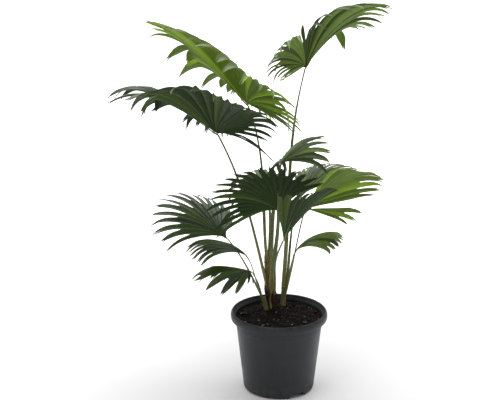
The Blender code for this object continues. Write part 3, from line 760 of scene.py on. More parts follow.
def shape_segment(lines, splits, down, ways):
    """The points of one segment from its rows of left, centre and right points.

    splits gives the rows where it parts from its neighbours. Beyond them it narrows, bends, sways and
    twists in its own way, and its end forks. Returns rows of six points: left edge, left middle, left of
    the rib, right of the rib, right middle, right edge, and the row where the fork begins.
    """
    left, centre, right = lines
    rows = len(centre)
    frames = frames_along(centre, left, right)
    halves = [np.einsum("kji,kj->ki", frames, side - centre) for side in (left, right)]
    begin = max(splits)
    widths = []
    for half, split in zip(halves, splits):
        size = np.linalg.norm(half, axis=1)
        u = np.clip((np.arange(rows) - split) / (rows - 1 - split), 0, 1)
        notch = NOTCH_DEPTH * np.clip(u / NOTCH_LENGTH, 0, 1)
        limit = size[split] * (1 - notch - (1 - NOTCH_DEPTH - ways["tip_width"]) * u ** ways["narrowing"])
        limit = np.minimum(limit, size) * (1 + ways["swell"] * np.sin(math.pi * u) ** 2)
        shrink = np.where(u > 0, limit / np.maximum(size, 1e-9), 1.0)
        half *= shrink[:, None]
        half[:, 2] *= 1 - ways["flatten"] * u
        widths.append(size[split])
    turned_frames, places = [frames[0]], [centre[0]]
    u = np.clip((np.arange(rows) - begin) / (rows - 1 - begin), 0, 1)
    droop = u ** ways["late"] if ways["late"] >= 0 else (1 - u) ** (-ways["late"]) * (u > 0)
    droop = droop / max(droop.sum(), 1e-9) * ways["droop"]
    sway = (u > 0) * ways["sway"] / max((u > 0).sum(), 1)
    twist = u / max(u.sum(), 1e-9) * ways["twist"]
    for row in range(1, rows):
        frame = turned_frames[-1] @ frames[row - 1].T @ frames[row]
        if row > begin:
            axis = np.cross(frame[:, 0], down)
            room = math.atan2(np.linalg.norm(axis), frame[:, 0] @ down)
            bend = min(droop[row], MOST_BEND * room)
            frame = turning(unit(axis), bend) @ frame
            frame = turning(frame[:, 2], sway[row]) @ frame
            frame = turning(frame[:, 0], twist[row]) @ frame
        step = np.linalg.norm(centre[row] - centre[row - 1])
        stretch = ways["stretch"] if row > begin else 1.0
        if row <= begin:
            places.append(centre[row])
        else:
            places.append(places[-1] + step * stretch * unit(turned_frames[-1][:, 0] + frame[:, 0]))
        turned_frames.append(frame)
    places, turned_frames = np.array(places), np.array(turned_frames)
    sides = [np.einsum("kij,kj->ki", turned_frames, half) for half in halves]
    fork = begin + int(round(ways["fork"] * (rows - 1 - begin)))
    u = np.clip((np.arange(rows) - fork) / (rows - 1 - fork), 0, 1)
    out = turned_frames[:, :, 2]
    columns = []
    for number, side in enumerate(sides):
        length = np.linalg.norm(side, axis=1, keepdims=True)
        way = side / np.maximum(length, 1e-9)
        inner = way * (widths[number] * ways["tip_width"] * u ** 1.3)[:, None]
        lean = out * (widths[number] * ways["lobes"][number] * u ** 2)[:, None]
        middle = 0.5 * (side + inner) - out * length * HALF_SAG
        columns.append([places + side + lean, places + middle + lean, places + inner + lean])
    rows_of_points = np.stack([*columns[0], *reversed(columns[1])], axis=1)
    return rows_of_points, fork


def build_blade(frond, sizes, materials):
    """One blade: a pleated fan whose segments part, narrow, droop and fork at their ends."""
    rng = np.random.default_rng(sum(ord(letter) * (k + 3) for k, letter in enumerate(frond.name)))
    fan = Fan(frond)
    count = max(4, round(frond.count * frond.fine * sizes.finer))
    angles = np.linspace(frond.low, frond.high, 2 * count + 1)
    ribs = fan.ribs(angles)
    across = unit(np.gradient(ribs, axis=0))
    facing = unit(np.cross(np.gradient(ribs, axis=1), across))
    gap = np.linalg.norm(np.gradient(ribs, axis=0), axis=2, keepdims=True)
    lift = np.where(np.arange(2 * count + 1) % 2 == 0, 1.0, -1.0)[:, None, None]
    ribs = (ribs + facing * gap * lift * sizes.pleat)[:, 1:]
    rows = STEPS
    free = 1 - frond.split
    depth = frond.split * (1 - 0.4 * (angles[::2] / FULL_SPREAD) ** 2)
    splits = [int(round(rows * min(0.9, share + free * rng.uniform(-0.16, 0.16)))) - 1 for share in depth]
    splits[0] = splits[count] = int(rows * frond.split * 0.5)
    strays = {}
    for angle, droop, start, stretch in frond.strays:
        nearest = int(np.argmin(np.abs(angles[1::2] - angle)))
        splits[nearest] = splits[nearest + 1] = int(rows * start)
        strays[nearest] = {"late": -4, "droop": math.radians(droop), "stretch": stretch, "sway": 0,
                            "swell": 0.7, "tip_width": 0.1, "narrowing": 1.6}
    shape = Shapes()
    points, faces, places, tints = [fan.hub], [], [], []

    def new(point):
        points.append(point)
        return len(points) - 1

    edge_ids = [[new(ribs[2 * e][k]) for k in range(splits[e] + 1)] for e in range(count + 1)]
    for i in range(count):
        if frond.cleft[0] < angles[2 * i + 1] < frond.cleft[1]:
            continue
        wild = sizes.unruly
        ways = {
            "tip_width": rng.uniform(0.12, 0.2), "narrowing": rng.uniform(2.0, 3.4),
            "flatten": rng.uniform(0.1, 0.6), "late": rng.uniform(0.3, 1.5),
            "droop": math.radians(rng.uniform(-6, 10)) * wild,
            "sway": math.radians(rng.normal(0, 6)) * wild, "twist": math.radians(rng.normal(0, 22)) * wild,
            "stretch": 1 + rng.uniform(-0.10, 0.05) * wild, "fork": rng.uniform(0.5, 0.82),
            "lobes": rng.uniform(-0.5, 0.5, 2), "swell": 0,
        }
        if rng.random() < BROKEN_SHARE * wild:
            ways.update(late=-0.8, droop=math.radians(rng.uniform(20, 50)))
        ways.update(strays.get(i, {}))
        pair = (splits[i], splits[i + 1])
        grid, fork = shape_segment((ribs[2 * i], ribs[2 * i + 1], ribs[2 * i + 2]), pair, fan.down, ways)
        tint = TONES.index(frond.tones[rng.integers(len(frond.tones))])
        ids = []
        for k in range(rows):
            if k == rows - 1:
                tips = (new(grid[k][0]), new(grid[k][5]))
                ids.append([tips[0]] * 3 + [tips[1]] * 3)
                continue
            row = [edge_ids[i][k] if k <= pair[0] else new(grid[k][0]), new(grid[k][1]), new(grid[k][2])]
            row.append(row[2] if k <= fork else new(grid[k][3]))
            row += [new(grid[k][4]), edge_ids[i + 1][k] if k <= pair[1] else new(grid[k][5])]
            ids.append(row)
        where = (0.0, 0.25, 0.5, 0.5, 0.75, 1.0)
        for j in (0, 1, 3, 4):
            faces.append((0, ids[0][j], ids[0][j + 1]))
            places += [(0.5 * (where[j] + where[j + 1]), 0.0), (where[j], 1 / rows), (where[j + 1], 1 / rows)]
            tints.append(tint)
            for k in range(rows - 1):
                corners = ((k, j), (k + 1, j), (k + 1, j + 1), (k, j + 1))
                face = {}
                for a, b in corners:
                    face.setdefault(ids[a][b], (where[b], (a + 1) / rows))
                faces.append(tuple(face))
                places += list(face.values())
                tints.append(tint)
    shape.points, shape.faces, shape.tints, shape.places = [np.array(points)], faces, tints, places
    blade = shape.build("blade_" + frond.name, materials)
    modify(blade, "SOLIDIFY", thickness=sizes.leaf_thickness, offset=0.0, use_even_offset=False,
           material_offset=len(TONES), material_offset_rim=len(TONES))
    smooth(blade, 50)
    hand_over(blade, "blade", "frond_" + frond.name)


def section_curve():
    """The section of a stalk: round below, with a shallow channel above and a ridge at each side."""
    corners = []
    for k in range(14):
        turn = 2 * math.pi * k / 14
        x, y = math.cos(turn), 0.80 * math.sin(turn)
        if y > 0.2:
            y = 0.2 + (y - 0.2) * 0.35
        corners.append((x * (1.08 if abs(y) < 0.25 else 1.0), y))
    bpy.ops.object.select_all(action="DESELECT")
    bpy.ops.curve.primitive_nurbs_circle_add()
    section = bpy.context.object
    section.name = "stalk_section"
    section.data.splines.clear()
    spline = section.data.splines.new("POLY")
    spline.points.add(len(corners) - 1)
    spline.points.foreach_set("co", [c for x, y in corners for c in (x, y, 0.0, 1.0)])
    spline.use_cyclic_u = True
    return section


def base_line(frond, count):
    """The sheath end of a stalk, which runs up its stem from below the potting mix to the stalk's foot."""
    stem = STEMS[frond.stem]
    aside = np.array([frond.foot[0], frond.foot[1], 0.0])
    if np.linalg.norm(aside) < 0.0015:
        aside = direction(frond.heading, 0) * 0.002
    aside = unit(aside)
    foot = stem_point(stem, frond.foot[2]) + (frond.foot[0], frond.foot[1], 0)
    line = []
    for share in np.linspace(0, 1, count)[:-1]:
        height = -STALK_DEPTH + (frond.foot[2] + STALK_DEPTH) * share
        hugging = stem_point(stem, height) + aside * stem_radius(stem, height) * 0.78
        easing = share ** 3
        at_foot = foot + (stem_point(stem, height) - stem_point(stem, frond.foot[2]))
        line.append(hugging * (1 - easing) + at_foot * easing)
    return np.array(line)


def build_stalk(frond, sizes, section, skin, horn):
    """One stalk from the soil to its blade, drawn as a bevelled curve, with teeth along both sides."""
    fan = Fan(frond)
    rng = np.random.default_rng(len(frond.name) * 31 + int(frond.heading))
    base, line = base_line(frond, 12), stalk_line(frond, 44)
    middle = fan.ribs([0.0])[0]
    normal = unit(np.cross(np.cross(middle[4] - middle[0], fan.z), middle[4] - middle[0]))
    if normal @ fan.z < 0:
        normal = -normal
    costa = np.array([middle[k] - normal * frond.stalk[1] * 0.9 for k in STALK_END_STEPS])
    path = np.vstack([base, line, costa])
    wide, narrow = frond.stalk
    fuller = np.linspace(1.35, 1.12, len(line))
    radii = np.concatenate([
        np.linspace(wide * 1.55, wide * 1.37, len(base)),
        (narrow + (wide - narrow) * np.linspace(1, 0, len(line)) ** 1.5) * fuller,
        narrow * np.linspace(1.05, 0.16, len(costa))])
    bpy.ops.object.select_all(action="DESELECT")
    bpy.ops.curve.primitive_bezier_curve_add()
    stalk = bpy.context.object
    stalk.name = "stalk_piece_" + frond.name
    curve = stalk.data
    curve.name = stalk.name
    curve.splines.clear()
    spline = curve.splines.new("POLY")
    spline.points.add(len(path) - 1)
    spline.points.foreach_set("co", [c for place in path for c in (*place, 1.0)])
    spline.points.foreach_set("radius", radii)
    curve.dimensions = "3D"
    curve.twist_mode = "Z_UP"
    curve.bevel_mode = "OBJECT"
    curve.bevel_object = section
    curve.use_fill_caps = True
    choose(stalk)
    bpy.ops.object.convert(target="MESH")
    stalk = bpy.context.object
    stalk.data.materials.clear()
    stalk.data.materials.append(skin)
    outward(stalk)
    if "UVMap" not in stalk.data.uv_layers:
        stalk.data.uv_layers.new(name="UVMap")

    teeth = Shapes()
    lengths = np.concatenate([[0], np.cumsum(np.linalg.norm(np.diff(line, axis=0), axis=1))])
    size = sizes.tooth_length * wide / 0.005
    at = 0.01
    while at < lengths[-1] * TOOTHED_SHARE:
        place = np.array([np.interp(at, lengths, line[:, axis]) for axis in range(3)])
        ahead = np.array([np.interp(at + 0.004, lengths, line[:, axis]) for axis in range(3)])
        way = unit(ahead - place)
        side = unit(np.cross(way, (0, 0, 1.0)))
        radius = narrow + (wide - narrow) * (1 - at / lengths[-1]) ** 1.5
        fade = 1 - TOOTH_FADE * at / (lengths[-1] * TOOTHED_SHARE)
        for sign in (-1, 1):
            if rng.random() < MISSING_TEETH:
                continue
            out = side * sign
            length = size * fade * rng.uniform(0.7, 1.15)
            root = place + way * rng.uniform(-0.3, 0.3) * sizes.tooth_step + out * radius * 0.55
            up = np.cross(out, way)
            half, thick = length * 0.42, radius * 0.22
            ring = [root + way * half, root + up * thick, root - way * half, root - up * thick]
            hook = root + out * (length * 0.62 + radius * 0.4) + way * length * 0.02
            second = [hook + way * half * 0.38, hook + up * thick * 0.4, hook - way * half * 0.38,
                      hook - up * thick * 0.4]
            tip = root + out * (length + radius * 0.4) + way * length * 0.38
            faces = [(3, 2, 1, 0)]
            for k in range(4):
                after = (k + 1) % 4
                faces += [(k, after, 4 + after, 4 + k), (4 + k, 4 + after, 8)]
            heights = np.array([(0.5, 0.0)] * 4 + [(0.5, 0.6)] * 4 + [(0.5, 1.0)])
            teeth.add(ring + second + [tip], faces, 1, heights)
        at += sizes.tooth_step * rng.uniform(0.75, 1.25)
    horns = teeth.build("teeth", [skin, horn])
    outward(horns)
    stalk.data.materials.append(horn)
    choose(horns)
    stalk.select_set(True)
    bpy.context.view_layer.objects.active = stalk
    bpy.ops.object.join()
    low, high = SOIL_LEVEL, frond.hub[2]
    heights = np.array([point.co[2] for point in stalk.data.vertices])
    share = stalk.data.attributes.new("along", "FLOAT", "POINT")
    share.data.foreach_set("value", np.clip((heights - low) / (high - low), 0, 1).astype(np.float32))
    smooth(stalk, 60)
    hand_over(stalk, "stalk", "stalk_" + frond.name)


def build_stem(stem, material, rough, around, up):
    """A stem with upright ridges and overlapping ring scars, closed at both ends."""
    rng = np.random.default_rng(int(stem.height * 1e4))
    heights = np.linspace(-0.010, stem.height, up)
    waves = [(int(rng.integers(5, 17)), rng.uniform(0, 6.28), rng.uniform(-26, 26), rng.uniform(0.2, 1.0))
             for _ in range(9)]
    shape, points, places = Shapes(), [], []
    for row, height in enumerate(heights):
        centre, radius = stem_point(stem, height), stem_radius(stem, max(0.0, height))
        scar = 0.5 + 0.5 * math.sin(height * 430 + 1.3 * math.sin(height * 160))
        for k in range(around):
            turn = 2 * math.pi * k / around
            ridge = sum(size * math.sin(number * turn + phase + slant * height)
                        for number, phase, slant, size in waves) / 4
            r = radius * (0.94 + rough * (0.10 * ridge + 0.05 * scar))
            points.append(centre + (*polar(r, turn), 0))
            places.append((k / around, row / up))
    faces = ring_faces(up, around, 0, len(points), len(points) + 1)
    points += [stem_point(stem, -0.012), stem_point(stem, stem.height + 0.001)]
    places += [(0.5, 0), (0.5, 1)]
    shape.add(points, faces, 0, np.array(places))
    made = shape.build(stem.name + "_bark", [material])
    smooth(made, 70)
    hand_over(made, "stem", stem.name)


def build_sheaths(sizes, materials):
    """Torn fibrous sheaths that wrap the trunk between the stalks, and loose fibres."""
    rng = np.random.default_rng(77)
    stem = STEMS["main"]
    sheets = Shapes()
    for low, tall, heading, arc, tint in SHEATHS:
        across, up = 30, 14
        ragged = 0.55 + 0.45 * rng.random(across + 1)
        ragged = np.convolve(np.pad(ragged, 1, mode="edge"), (0.25, 0.5, 0.25), "valid")
        points, places = [], []
        for j in range(up + 1):
            for i in range(across + 1):
                turn = math.radians(heading + arc * (i / across - 0.5))
                edge = 1 - abs(2 * i / across - 1) ** 3 * 0.5
                height = low + tall * (j / up) * ragged[i] * edge
                loose = SHEATH_GAP + 0.0030 * (j / up) ** 2 + SHEATH_WAVE * math.sin(9 * turn + 40 * height)
                r = stem_radius(stem, height) + loose
                points.append(stem_point(stem, height) + (*polar(r, turn), 0))
                places.append((i / across, j / up))
        faces = [(j * (across + 1) + i, j * (across + 1) + i + 1, (j + 1) * (across + 1) + i + 1,
                  (j + 1) * (across + 1) + i) for j in range(up) for i in range(across)]
        sheets.add(points, faces, tint, np.array(places))
    sheath = sheets.build("trunk_sheaths", materials)
    modify(sheath, "SOLIDIFY", thickness=0.0007, offset=0.0)
    smooth(sheath, 50)
    hand_over(sheath, "stem")

    strands = Shapes()
    for _ in range(sizes.fibres):
        height = 0.002 + (stem.height - 0.01) * rng.beta(2.0, 1.7)
        turn, swirl = rng.uniform(0, 2 * math.pi), rng.normal(0, 0.55)
        long, lift = rng.uniform(0.012, 0.045), abs(rng.normal(0, 0.0028))
        path = []
        for share in np.linspace(0, 1, 6):
            h = height + long * share
            loose = SHEATH_GAP + lift * share ** 2 + SHEATH_WAVE * math.sin(9 * share)
            r = stem_radius(stem, min(h, stem.height)) + loose
            angle = turn + swirl * share
            path.append(stem_point(stem, h) + (*polar(r, angle), 0))
        thick = rng.uniform(0.00018, 0.00042)
        tint = 1 if height < 0.05 and rng.random() < 0.7 else 0
        strands.tube(path, [thick] * 5 + [thick * 0.3], 3, tint)
    fibre = strands.build("trunk_fibre", materials)
    smooth(fibre, 70)
    hand_over(fibre, "stem")


def rounded(profile, radii, steps=5):
    """A profile with its corners rounded."""
    points = []
    profile = [np.array(point, float) for point in profile]
    for k, (corner, radius) in enumerate(zip(profile, radii)):
        if radius == 0 or k in (0, len(profile) - 1):
            points.append(corner)
            continue
        before, after = profile[k - 1] - corner, profile[k + 1] - corner
        reach = min(radius, 0.45 * np.linalg.norm(before), 0.45 * np.linalg.norm(after))
        start, end = corner + unit(before) * reach, corner + unit(after) * reach
        for t in np.linspace(0, 1, steps + 1):
            points.append((1 - t) ** 2 * start + 2 * t * (1 - t) * corner + t * t * end)
    return points


def channel_bar(heading, width, top_width, height, inner, outer, bottom, name):
    """A cutter or cover for one drain channel: a bar of trapezoid section along a radius."""
    out, side = direction(heading, 0), direction(heading + 90, 0)
    points, faces, steps = [], [], 10
    for share in np.linspace(-1, 1, steps + 1):
        for across, up in ((share * width / 2, bottom), (share * top_width / 2, height)):
            for reach in (inner, math.sqrt(outer ** 2 - across ** 2)):
                points.append(out * reach + side * across + (0, 0, up))
    for step in range(steps):
        low, high = 4 * step, 4 * step + 4
        for a, b in ((0, 1), (1, 3), (3, 2), (2, 0)):
            faces.append((low + a, high + a, high + b, low + b))
    last = 4 * steps
    faces += [(0, 1, 3, 2), (last + 2, last + 3, last + 1, last)]
    shape = Shapes()
    shape.add(points, faces)
    return shape.build(name, [])


def build_pot(sizes, plastic):
    """The pot: its profile turned round by a Screw modifier, then its drain channels cut."""
    profile = [
        (0, 0.0012), (0.070, 0.0012), (0.0715, 0), (FOOT_RADIUS, 0), (BASE_RADIUS, FOOT_BEVEL),
        (NECK_RADIUS - 0.0022, NECK_HEIGHT - 0.020), (NECK_RADIUS - 0.0016, NECK_HEIGHT - 0.0195),
        (NECK_RADIUS, NECK_HEIGHT), (NECK_RADIUS + 0.0005, RIM_MIDDLE),
        (RIM_RADIUS - 2 * WALL, RIM_MIDDLE - 0.001), (RIM_RADIUS - 2 * WALL, NECK_HEIGHT + 0.002),
        (RIM_RADIUS - 0.8 * WALL, NECK_HEIGHT + 0.001), (RIM_RADIUS - 0.3 * WALL, NECK_HEIGHT + 0.004),
        (RIM_RADIUS, RIM_MIDDLE - 0.002), (RIM_RADIUS - 0.001, RIM_MIDDLE + 0.004),
        (RIM_RADIUS - 0.003, POT_HEIGHT - 0.0015), (LIP_RADIUS, POT_HEIGHT),
        (LIP_RADIUS - 0.0022, POT_HEIGHT - 0.0012), (LIP_RADIUS - 0.0035, POT_HEIGHT - 0.005),
        (NECK_RADIUS + 0.0005 - WALL, RIM_MIDDLE - 0.003),
        (NECK_RADIUS - WALL, NECK_HEIGHT), (BASE_RADIUS - WALL, FOOT_BEVEL + FLOOR), (FOOT_RADIUS, FLOOR),
        (0, FLOOR),
    ]
    radii = [0, 0.001, 0.001, 0.002, 0.004, 0.0004, 0.0004, 0.004, 0.003, 0.002, 0.001, 0.001, 0.003,
             0.005, 0.004, 0.002, 0.001, 0.002, 0.004, 0.003, 0.004, 0.003, 0.002, 0]
    line = rounded(profile, radii)
    mesh = bpy.data.meshes.new("pot_shell")
    mesh.from_pydata([(x, 0, z) for x, z in line], [(k, k + 1) for k in range(len(line) - 1)], [])
    pot = bpy.data.objects.new("pot_shell", mesh)
    bpy.context.scene.collection.objects.link(pot)
    modify(pot, "SCREW", steps=sizes.pot_steps, render_steps=sizes.pot_steps, use_merge_vertices=True,
           merge_threshold=0.00001, use_normal_calculate=True)
    outward(pot)
    inner = BASE_RADIUS - CHANNEL_DEPTH
    for heading in CHANNEL_HEADINGS:
        cover = channel_bar(heading, CHANNEL_WIDTH + 2 * WALL, CHANNEL_TOP_WIDTH + 2 * WALL,
                            CHANNEL_HEIGHT + WALL, inner - WALL, BASE_RADIUS - 0.5 * WALL, 0.5 * FLOOR,
                            "cover")
        outward(cover)
        modify(pot, "BOOLEAN", operation="UNION", object=cover, solver="EXACT")
        hollow = channel_bar(heading, CHANNEL_WIDTH, CHANNEL_TOP_WIDTH, CHANNEL_HEIGHT, inner,
                             BASE_RADIUS + 0.02, -0.01, "hollow")
        outward(hollow)
        modify(pot, "BOOLEAN", operation="DIFFERENCE", object=hollow, solver="EXACT")
        bpy.data.objects.remove(cover, do_unlink=True)
        bpy.data.objects.remove(hollow, do_unlink=True)
    pot.data.materials.clear()
    pot.data.materials.append(plastic)
    smooth(pot, 38)
    hand_over(pot, "pot", "pot", "pot_base")


def soil_height(x, y):
    """The uneven top of the potting mix."""
    r = math.hypot(x, y)
    lumps = (math.sin(71 * x + 1.1) * math.sin(63 * y + 0.4) + 0.6 * math.sin(137 * x - 91 * y)
             + 0.4 * math.sin(211 * y + 160 * x + 2) + 0.3 * math.sin(390 * x) * math.sin(350 * y))
    mound = 0.0024 * math.exp(-((x + 0.016) ** 2 + (y - 0.05) ** 2) / 0.0012)
    return SOIL_LEVEL - 0.0012 + 0.0011 * lumps + mound - 0.0035 * (r / 0.104) ** 6


def build_soil(sizes, mix, chip_tints):
    """The potting mix: an uneven bed, with bark chips, grains and fibres on top."""
    rng = np.random.default_rng(5)
    reach = NECK_RADIUS - WALL - 0.0006
    around, rings = 96, 40
    bed, points = Shapes(), [(0, 0, soil_height(0, 0))]
    for ring in range(1, rings + 1):
        r = reach * ring / rings
        for k in range(around):
            x, y = polar(r, 2 * math.pi * k / around)
            points.append((x, y, soil_height(x, y) + rng.normal(0, 0.0004)))
    for r, z in ((reach - 0.002, 0.165), (BASE_RADIUS - WALL - 0.001, 0.02), (0.05, 0.018)):
        points += [(*polar(r, 2 * math.pi * k / around), z) for k in range(around)]
    points.append((0, 0, 0.018))
    bed.add(points, ring_faces(rings + 3, around, 1, 0, len(points) - 1))
    made = bed.build("soil_bed", [mix])
    outward(made)
    smooth(made, 80)
    hand_over(made, "potting_mix", "potting_mix")

    stems = [stem_point(stem, 0.0)[:2] for stem in STEMS.values()]

    def spot(margin):
        """A random place on the mix, clear of its edge and of the stems."""
        while True:
            x, y = polar((reach - margin) * math.sqrt(rng.random()), rng.uniform(0, 2 * math.pi))
            if all(math.hypot(x - sx, y - sy) > STEM_CLEARANCE for sx, sy in stems):
                return x, y

    box = [(-1, -1, -1), (1, -1, -1), (1, 1, -1), (-1, 1, -1), (-1, -1, 1), (1, -1, 1), (1, 1, 1), (-1, 1, 1)]
    sides = [(3, 2, 1, 0), (4, 5, 6, 7), (0, 1, 5, 4), (1, 2, 6, 5), (2, 3, 7, 6), (3, 0, 4, 7)]
    chips = Shapes()
    for _ in range(sizes.chips):
        long = rng.gamma(2.6, 0.00065) + 0.0008
        half = np.array([long, long * rng.uniform(0.3, 0.8), long * rng.uniform(0.12, 0.4)])
        corners = np.array(box) * half * rng.uniform(0.6, 1.15, (8, 3))
        turn = turning(np.array([0, 0, 1.0]), rng.uniform(0, 6.28)) @ turning(
            unit(rng.normal(0, 1, 3)), rng.normal(0, 0.45))
        x, y = spot(0.004)
        corners = corners @ turn.T + (x, y, soil_height(x, y) + half[2] * rng.uniform(0.1, 0.9))
        tint = rng.choice(4, p=(0.46, 0.36, 0.15, 0.03))
        chips.add(corners, sides, int(tint))
    made = chips.build("soil_chips", chip_tints)
    modify(made, "BEVEL", width=0.00025, segments=1, limit_method="ANGLE")
    smooth(made, 30)
    hand_over(made, "potting_mix")

    grains = Shapes()
    peaks = [(1, 0, 0), (-1, 0, 0), (0, 1, 0), (0, -1, 0), (0, 0, 1), (0, 0, -1)]
    facets = [(0, 2, 4), (2, 1, 4), (1, 3, 4), (3, 0, 4), (2, 0, 5), (1, 2, 5), (3, 1, 5), (0, 3, 5)]
    for _ in range(sizes.grains):
        size = rng.uniform(0.0004, 0.0011)
        x, y = spot(0.002)
        place = (x, y, soil_height(x, y) + size * 0.5)
        tint = rng.choice(4, p=(0.5, 0.34, 0.11, 0.05))
        grains.add(np.array(peaks) * size * rng.uniform(0.6, 1.3, (6, 3)) + place, facets, int(tint))
    made = grains.build("soil_grains", chip_tints)
    hand_over(made, "potting_mix")

    threads = Shapes()
    for _ in range(MIX_FIBRES):
        x, y = spot(0.012)
        heading, long = rng.uniform(0, 6.28), rng.uniform(0.006, 0.022)
        bow, path = rng.normal(0, 1.2), []
        for share in np.linspace(0, 1, 6):
            turn = heading + bow * share
            x, y = x + long / 5 * math.cos(turn), y + long / 5 * math.sin(turn)
            if math.hypot(x, y) > reach - 0.002:
                x, y = x * 0.95, y * 0.95
            path.append((x, y, soil_height(x, y) + 0.0012 + 0.0012 * math.sin(math.pi * share)))
        thick = rng.uniform(0.00015, 0.0004)
        threads.tube(path, [thick] * 6, 3, int(rng.choice(3, p=(0.2, 0.4, 0.4))))
    made = threads.build("soil_fibres", chip_tints)
    hand_over(made, "potting_mix")


# Operators.

class PALM_OT_blades(bpy.types.Operator):
    """Builds every blade as a pleated fan"""
    bl_idname = "palm.blades"
    bl_label = "Blades"

    def execute(self, context):
        colours = context.scene.palm_colours
        # The share of light through each tone's blades. The tones' colours themselves also hold painted shade
        # and painted light.
        shares = {"deep": 0.22, "middle": 0.32, "fresh": 0.45, "bright": 0.52}
        materials = [leaf_material(f"leaf_{name}_{side}", getattr(colours, name), share, side == "under")
                     for side in ("upper", "under") for name, share in shares.items()]
        for frond in FRONDS:
            build_blade(frond, context.scene.palm_sizes, materials)
        return {"FINISHED"}


class PALM_OT_stalks(bpy.types.Operator):
    """Builds every stalk with its teeth"""
    bl_idname = "palm.stalks"
    bl_label = "Stalks"

    def execute(self, context):
        colours = context.scene.palm_colours
        skin, horn = stalk_material(colours), tooth_material(colours)
        section = section_curve()
        for frond in FRONDS:
            build_stalk(frond, context.scene.palm_sizes, section, skin, horn)
        bpy.data.objects.remove(section, do_unlink=True)
        return {"FINISHED"}


class PALM_OT_stems(bpy.types.Operator):
    """Builds the trunk and the two young stems with their sheaths and fibres"""
    bl_idname = "palm.stems"
    bl_label = "Stems"

    def execute(self, context):
        sizes, colours = context.scene.palm_sizes, context.scene.palm_colours
        brown = fibre_material("fibre_brown", colours.fibre, np.array(colours.fibre) * 0.3, 0.5,
                               colours.stalk_base)
        maroon = fibre_material("fibre_maroon", colours.maroon, np.array(colours.maroon) * 0.4, 0.2)
        pale = fibre_material("sheath_pale", colours.sheath, np.array(colours.stalk_base) * 0.5, 0.1)
        build_stem(STEMS["main"], brown, 1.0, 64, 90)
        for side in ("left", "right"):
            build_stem(STEMS[side], pale, 0.6, 32, 30)
        build_sheaths(sizes, [brown, maroon])
        return {"FINISHED"}


class PALM_OT_pot(bpy.types.Operator):
    """Builds the nursery pot"""
    bl_idname = "palm.pot"
    bl_label = "Pot"

    def execute(self, context):
        build_pot(context.scene.palm_sizes, plastic_material(context.scene.palm_colours))
        return {"FINISHED"}


class PALM_OT_soil(bpy.types.Operator):
    """Builds the potting mix"""
    bl_idname = "palm.soil"
    bl_label = "Potting mix"

    def execute(self, context):
        colours = context.scene.palm_colours
        mix, chip = np.array(colours.mix), np.array(colours.chip)
        bed = earth_material("mix_bed", mix, mix * 3 + 0.01)
        tints = [earth_material("mix_dark", mix * 1.6, mix * 4), earth_material("mix_bark", chip, chip * 2),
                 earth_material("mix_red", chip * (1.9, 1.3, 1.1), chip * 3),
                 earth_material("mix_pale", (0.26, 0.22, 0.16), (0.4, 0.36, 0.28))]
        build_soil(context.scene.palm_sizes, bed, tints)
        return {"FINISHED"}


def area_light(name, place, target, size, power):
    """A soft rectangular light that faces a point."""
    bpy.ops.object.select_all(action="DESELECT")
    bpy.ops.object.light_add(type="AREA", location=place)
    light = bpy.context.object
    light.name = name
    light.data.shape, light.data.energy = "RECTANGLE", power
    light.data.size, light.data.size_y = size
    way = Vector(target) - light.location
    light.rotation_euler = way.to_track_quat("-Z", "Y").to_euler()


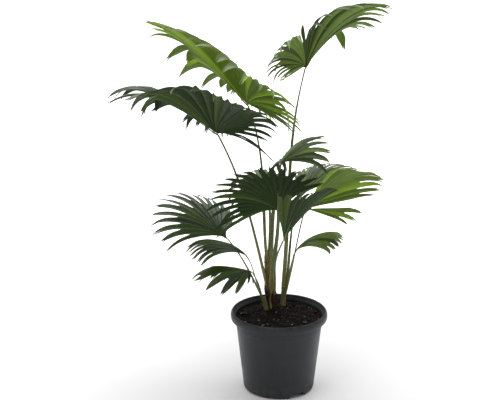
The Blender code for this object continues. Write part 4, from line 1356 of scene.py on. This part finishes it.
class PALM_OT_stage(bpy.types.Operator):
    """Sets up the floor, the lights and the camera"""
    bl_idname = "palm.stage"
    bl_label = "Stage"

    def execute(self, context):
        stage, colours = context.scene.palm_stage, context.scene.palm_colours
        bpy.ops.object.select_all(action="DESELECT")
        bpy.ops.mesh.primitive_plane_add(size=40)
        floor = context.object
        floor.name = "studio_floor"
        material, tree, shader = new_material("studio_floor", 0.9)
        place = tree.place()
        cloud = tree.noise(place, 1.2, 2.0)
        shade = np.array(colours.floor)
        tree.fill(shader.inputs["Base Color"], tree.mix(cloud, shade * 0.985, shade))
        far = tree.add("ShaderNodeVectorMath", {0: place}, operation="LENGTH").outputs["Value"]
        seen = tree.add("ShaderNodeLightPath").outputs["Is Camera Ray"]
        glow = tree.math("MULTIPLY", tree.spread(far, 0.35, 1.5), seen)
        tree.fill(shader.inputs["Emission Color"], tree.mix(glow, (0, 0, 0), (1, 1, 1)))
        shader.inputs["Emission Strength"].default_value = stage.glow
        floor.data.materials.append(material)
        area_light("key_light", (-1.1, -1.3, 3.0), (0, 0, 0.5), (1.6, 1.6), stage.key)
        area_light("top_light", (0.3, 0.5, 3.0), (0.3, 0.5, 0), (2.4, 2.4), stage.top)
        area_light("back_light", (0, 5.5, 3.6), (0, 5.5, 0), (9, 9), stage.back)
        world = bpy.data.worlds.new("studio")
        context.scene.world = world
        world.use_nodes = True
        sky = Tree(world.node_tree)
        even = world.node_tree.nodes["Background"]
        even.inputs["Color"].default_value, even.inputs["Strength"].default_value = (1, 1, 1, 1), stage.sky
        backdrop = sky.add("ShaderNodeBackground", {"Color": (1, 1, 1), "Strength": 1.0})
        seen = sky.add("ShaderNodeLightPath").outputs["Is Camera Ray"]
        both = sky.add("ShaderNodeMixShader", {0: seen, 1: even, 2: backdrop})
        sky.fill(world.node_tree.nodes["World Output"].inputs["Surface"], both)
        bpy.ops.object.camera_add(location=(stage.aside, -stage.distance, stage.height),
                                  rotation=(math.radians(stage.tilt), 0, 0))
        camera = context.object
        camera.data.lens, camera.data.sensor_width = stage.lens, SENSOR_WIDTH
        camera.data.clip_end = 100
        context.scene.camera = camera
        context.scene.view_settings.view_transform = "Standard"
        return {"FINISHED"}


class PALM_PT_panel(bpy.types.Panel):
    """The palm's operators and settings"""
    bl_idname = "PALM_PT_panel"
    bl_label = "Fan palm"
    bl_space_type = "VIEW_3D"
    bl_region_type = "UI"
    bl_category = "Fan palm"

    def draw(self, context):
        layout = self.layout
        for operator in OPERATORS:
            layout.operator(operator.bl_idname)
        for settings in (context.scene.palm_sizes, context.scene.palm_colours, context.scene.palm_stage):
            box = layout.box()
            for key in settings.__annotations__:
                box.prop(settings, key)


OPERATORS = (PALM_OT_pot, PALM_OT_soil, PALM_OT_stems, PALM_OT_stalks, PALM_OT_blades, PALM_OT_stage)
GROUPS = {"palm_sizes": PalmSizes, "palm_colours": PalmColours, "palm_stage": PalmStage}


def register():
    """Registers the property groups, the operators and the panel."""
    for key, settings in GROUPS.items():
        bpy.utils.register_class(settings)
        setattr(bpy.types.Scene, key, bpy.props.PointerProperty(type=settings))
    for operator in OPERATORS:
        bpy.utils.register_class(operator)
    bpy.utils.register_class(PALM_PT_panel)


def unregister():
    """Takes back what register added."""
    bpy.utils.unregister_class(PALM_PT_panel)
    for operator in reversed(OPERATORS):
        bpy.utils.unregister_class(operator)
    for key, settings in GROUPS.items():
        delattr(bpy.types.Scene, key)
        bpy.utils.unregister_class(settings)


def main():
    register()
    bpy.ops.palm.pot()
    bpy.ops.palm.soil()
    bpy.ops.palm.stems()
    bpy.ops.palm.stalks()
    bpy.ops.palm.blades()
    bpy.ops.palm.stage()


if __name__ == "__main__":
    main()
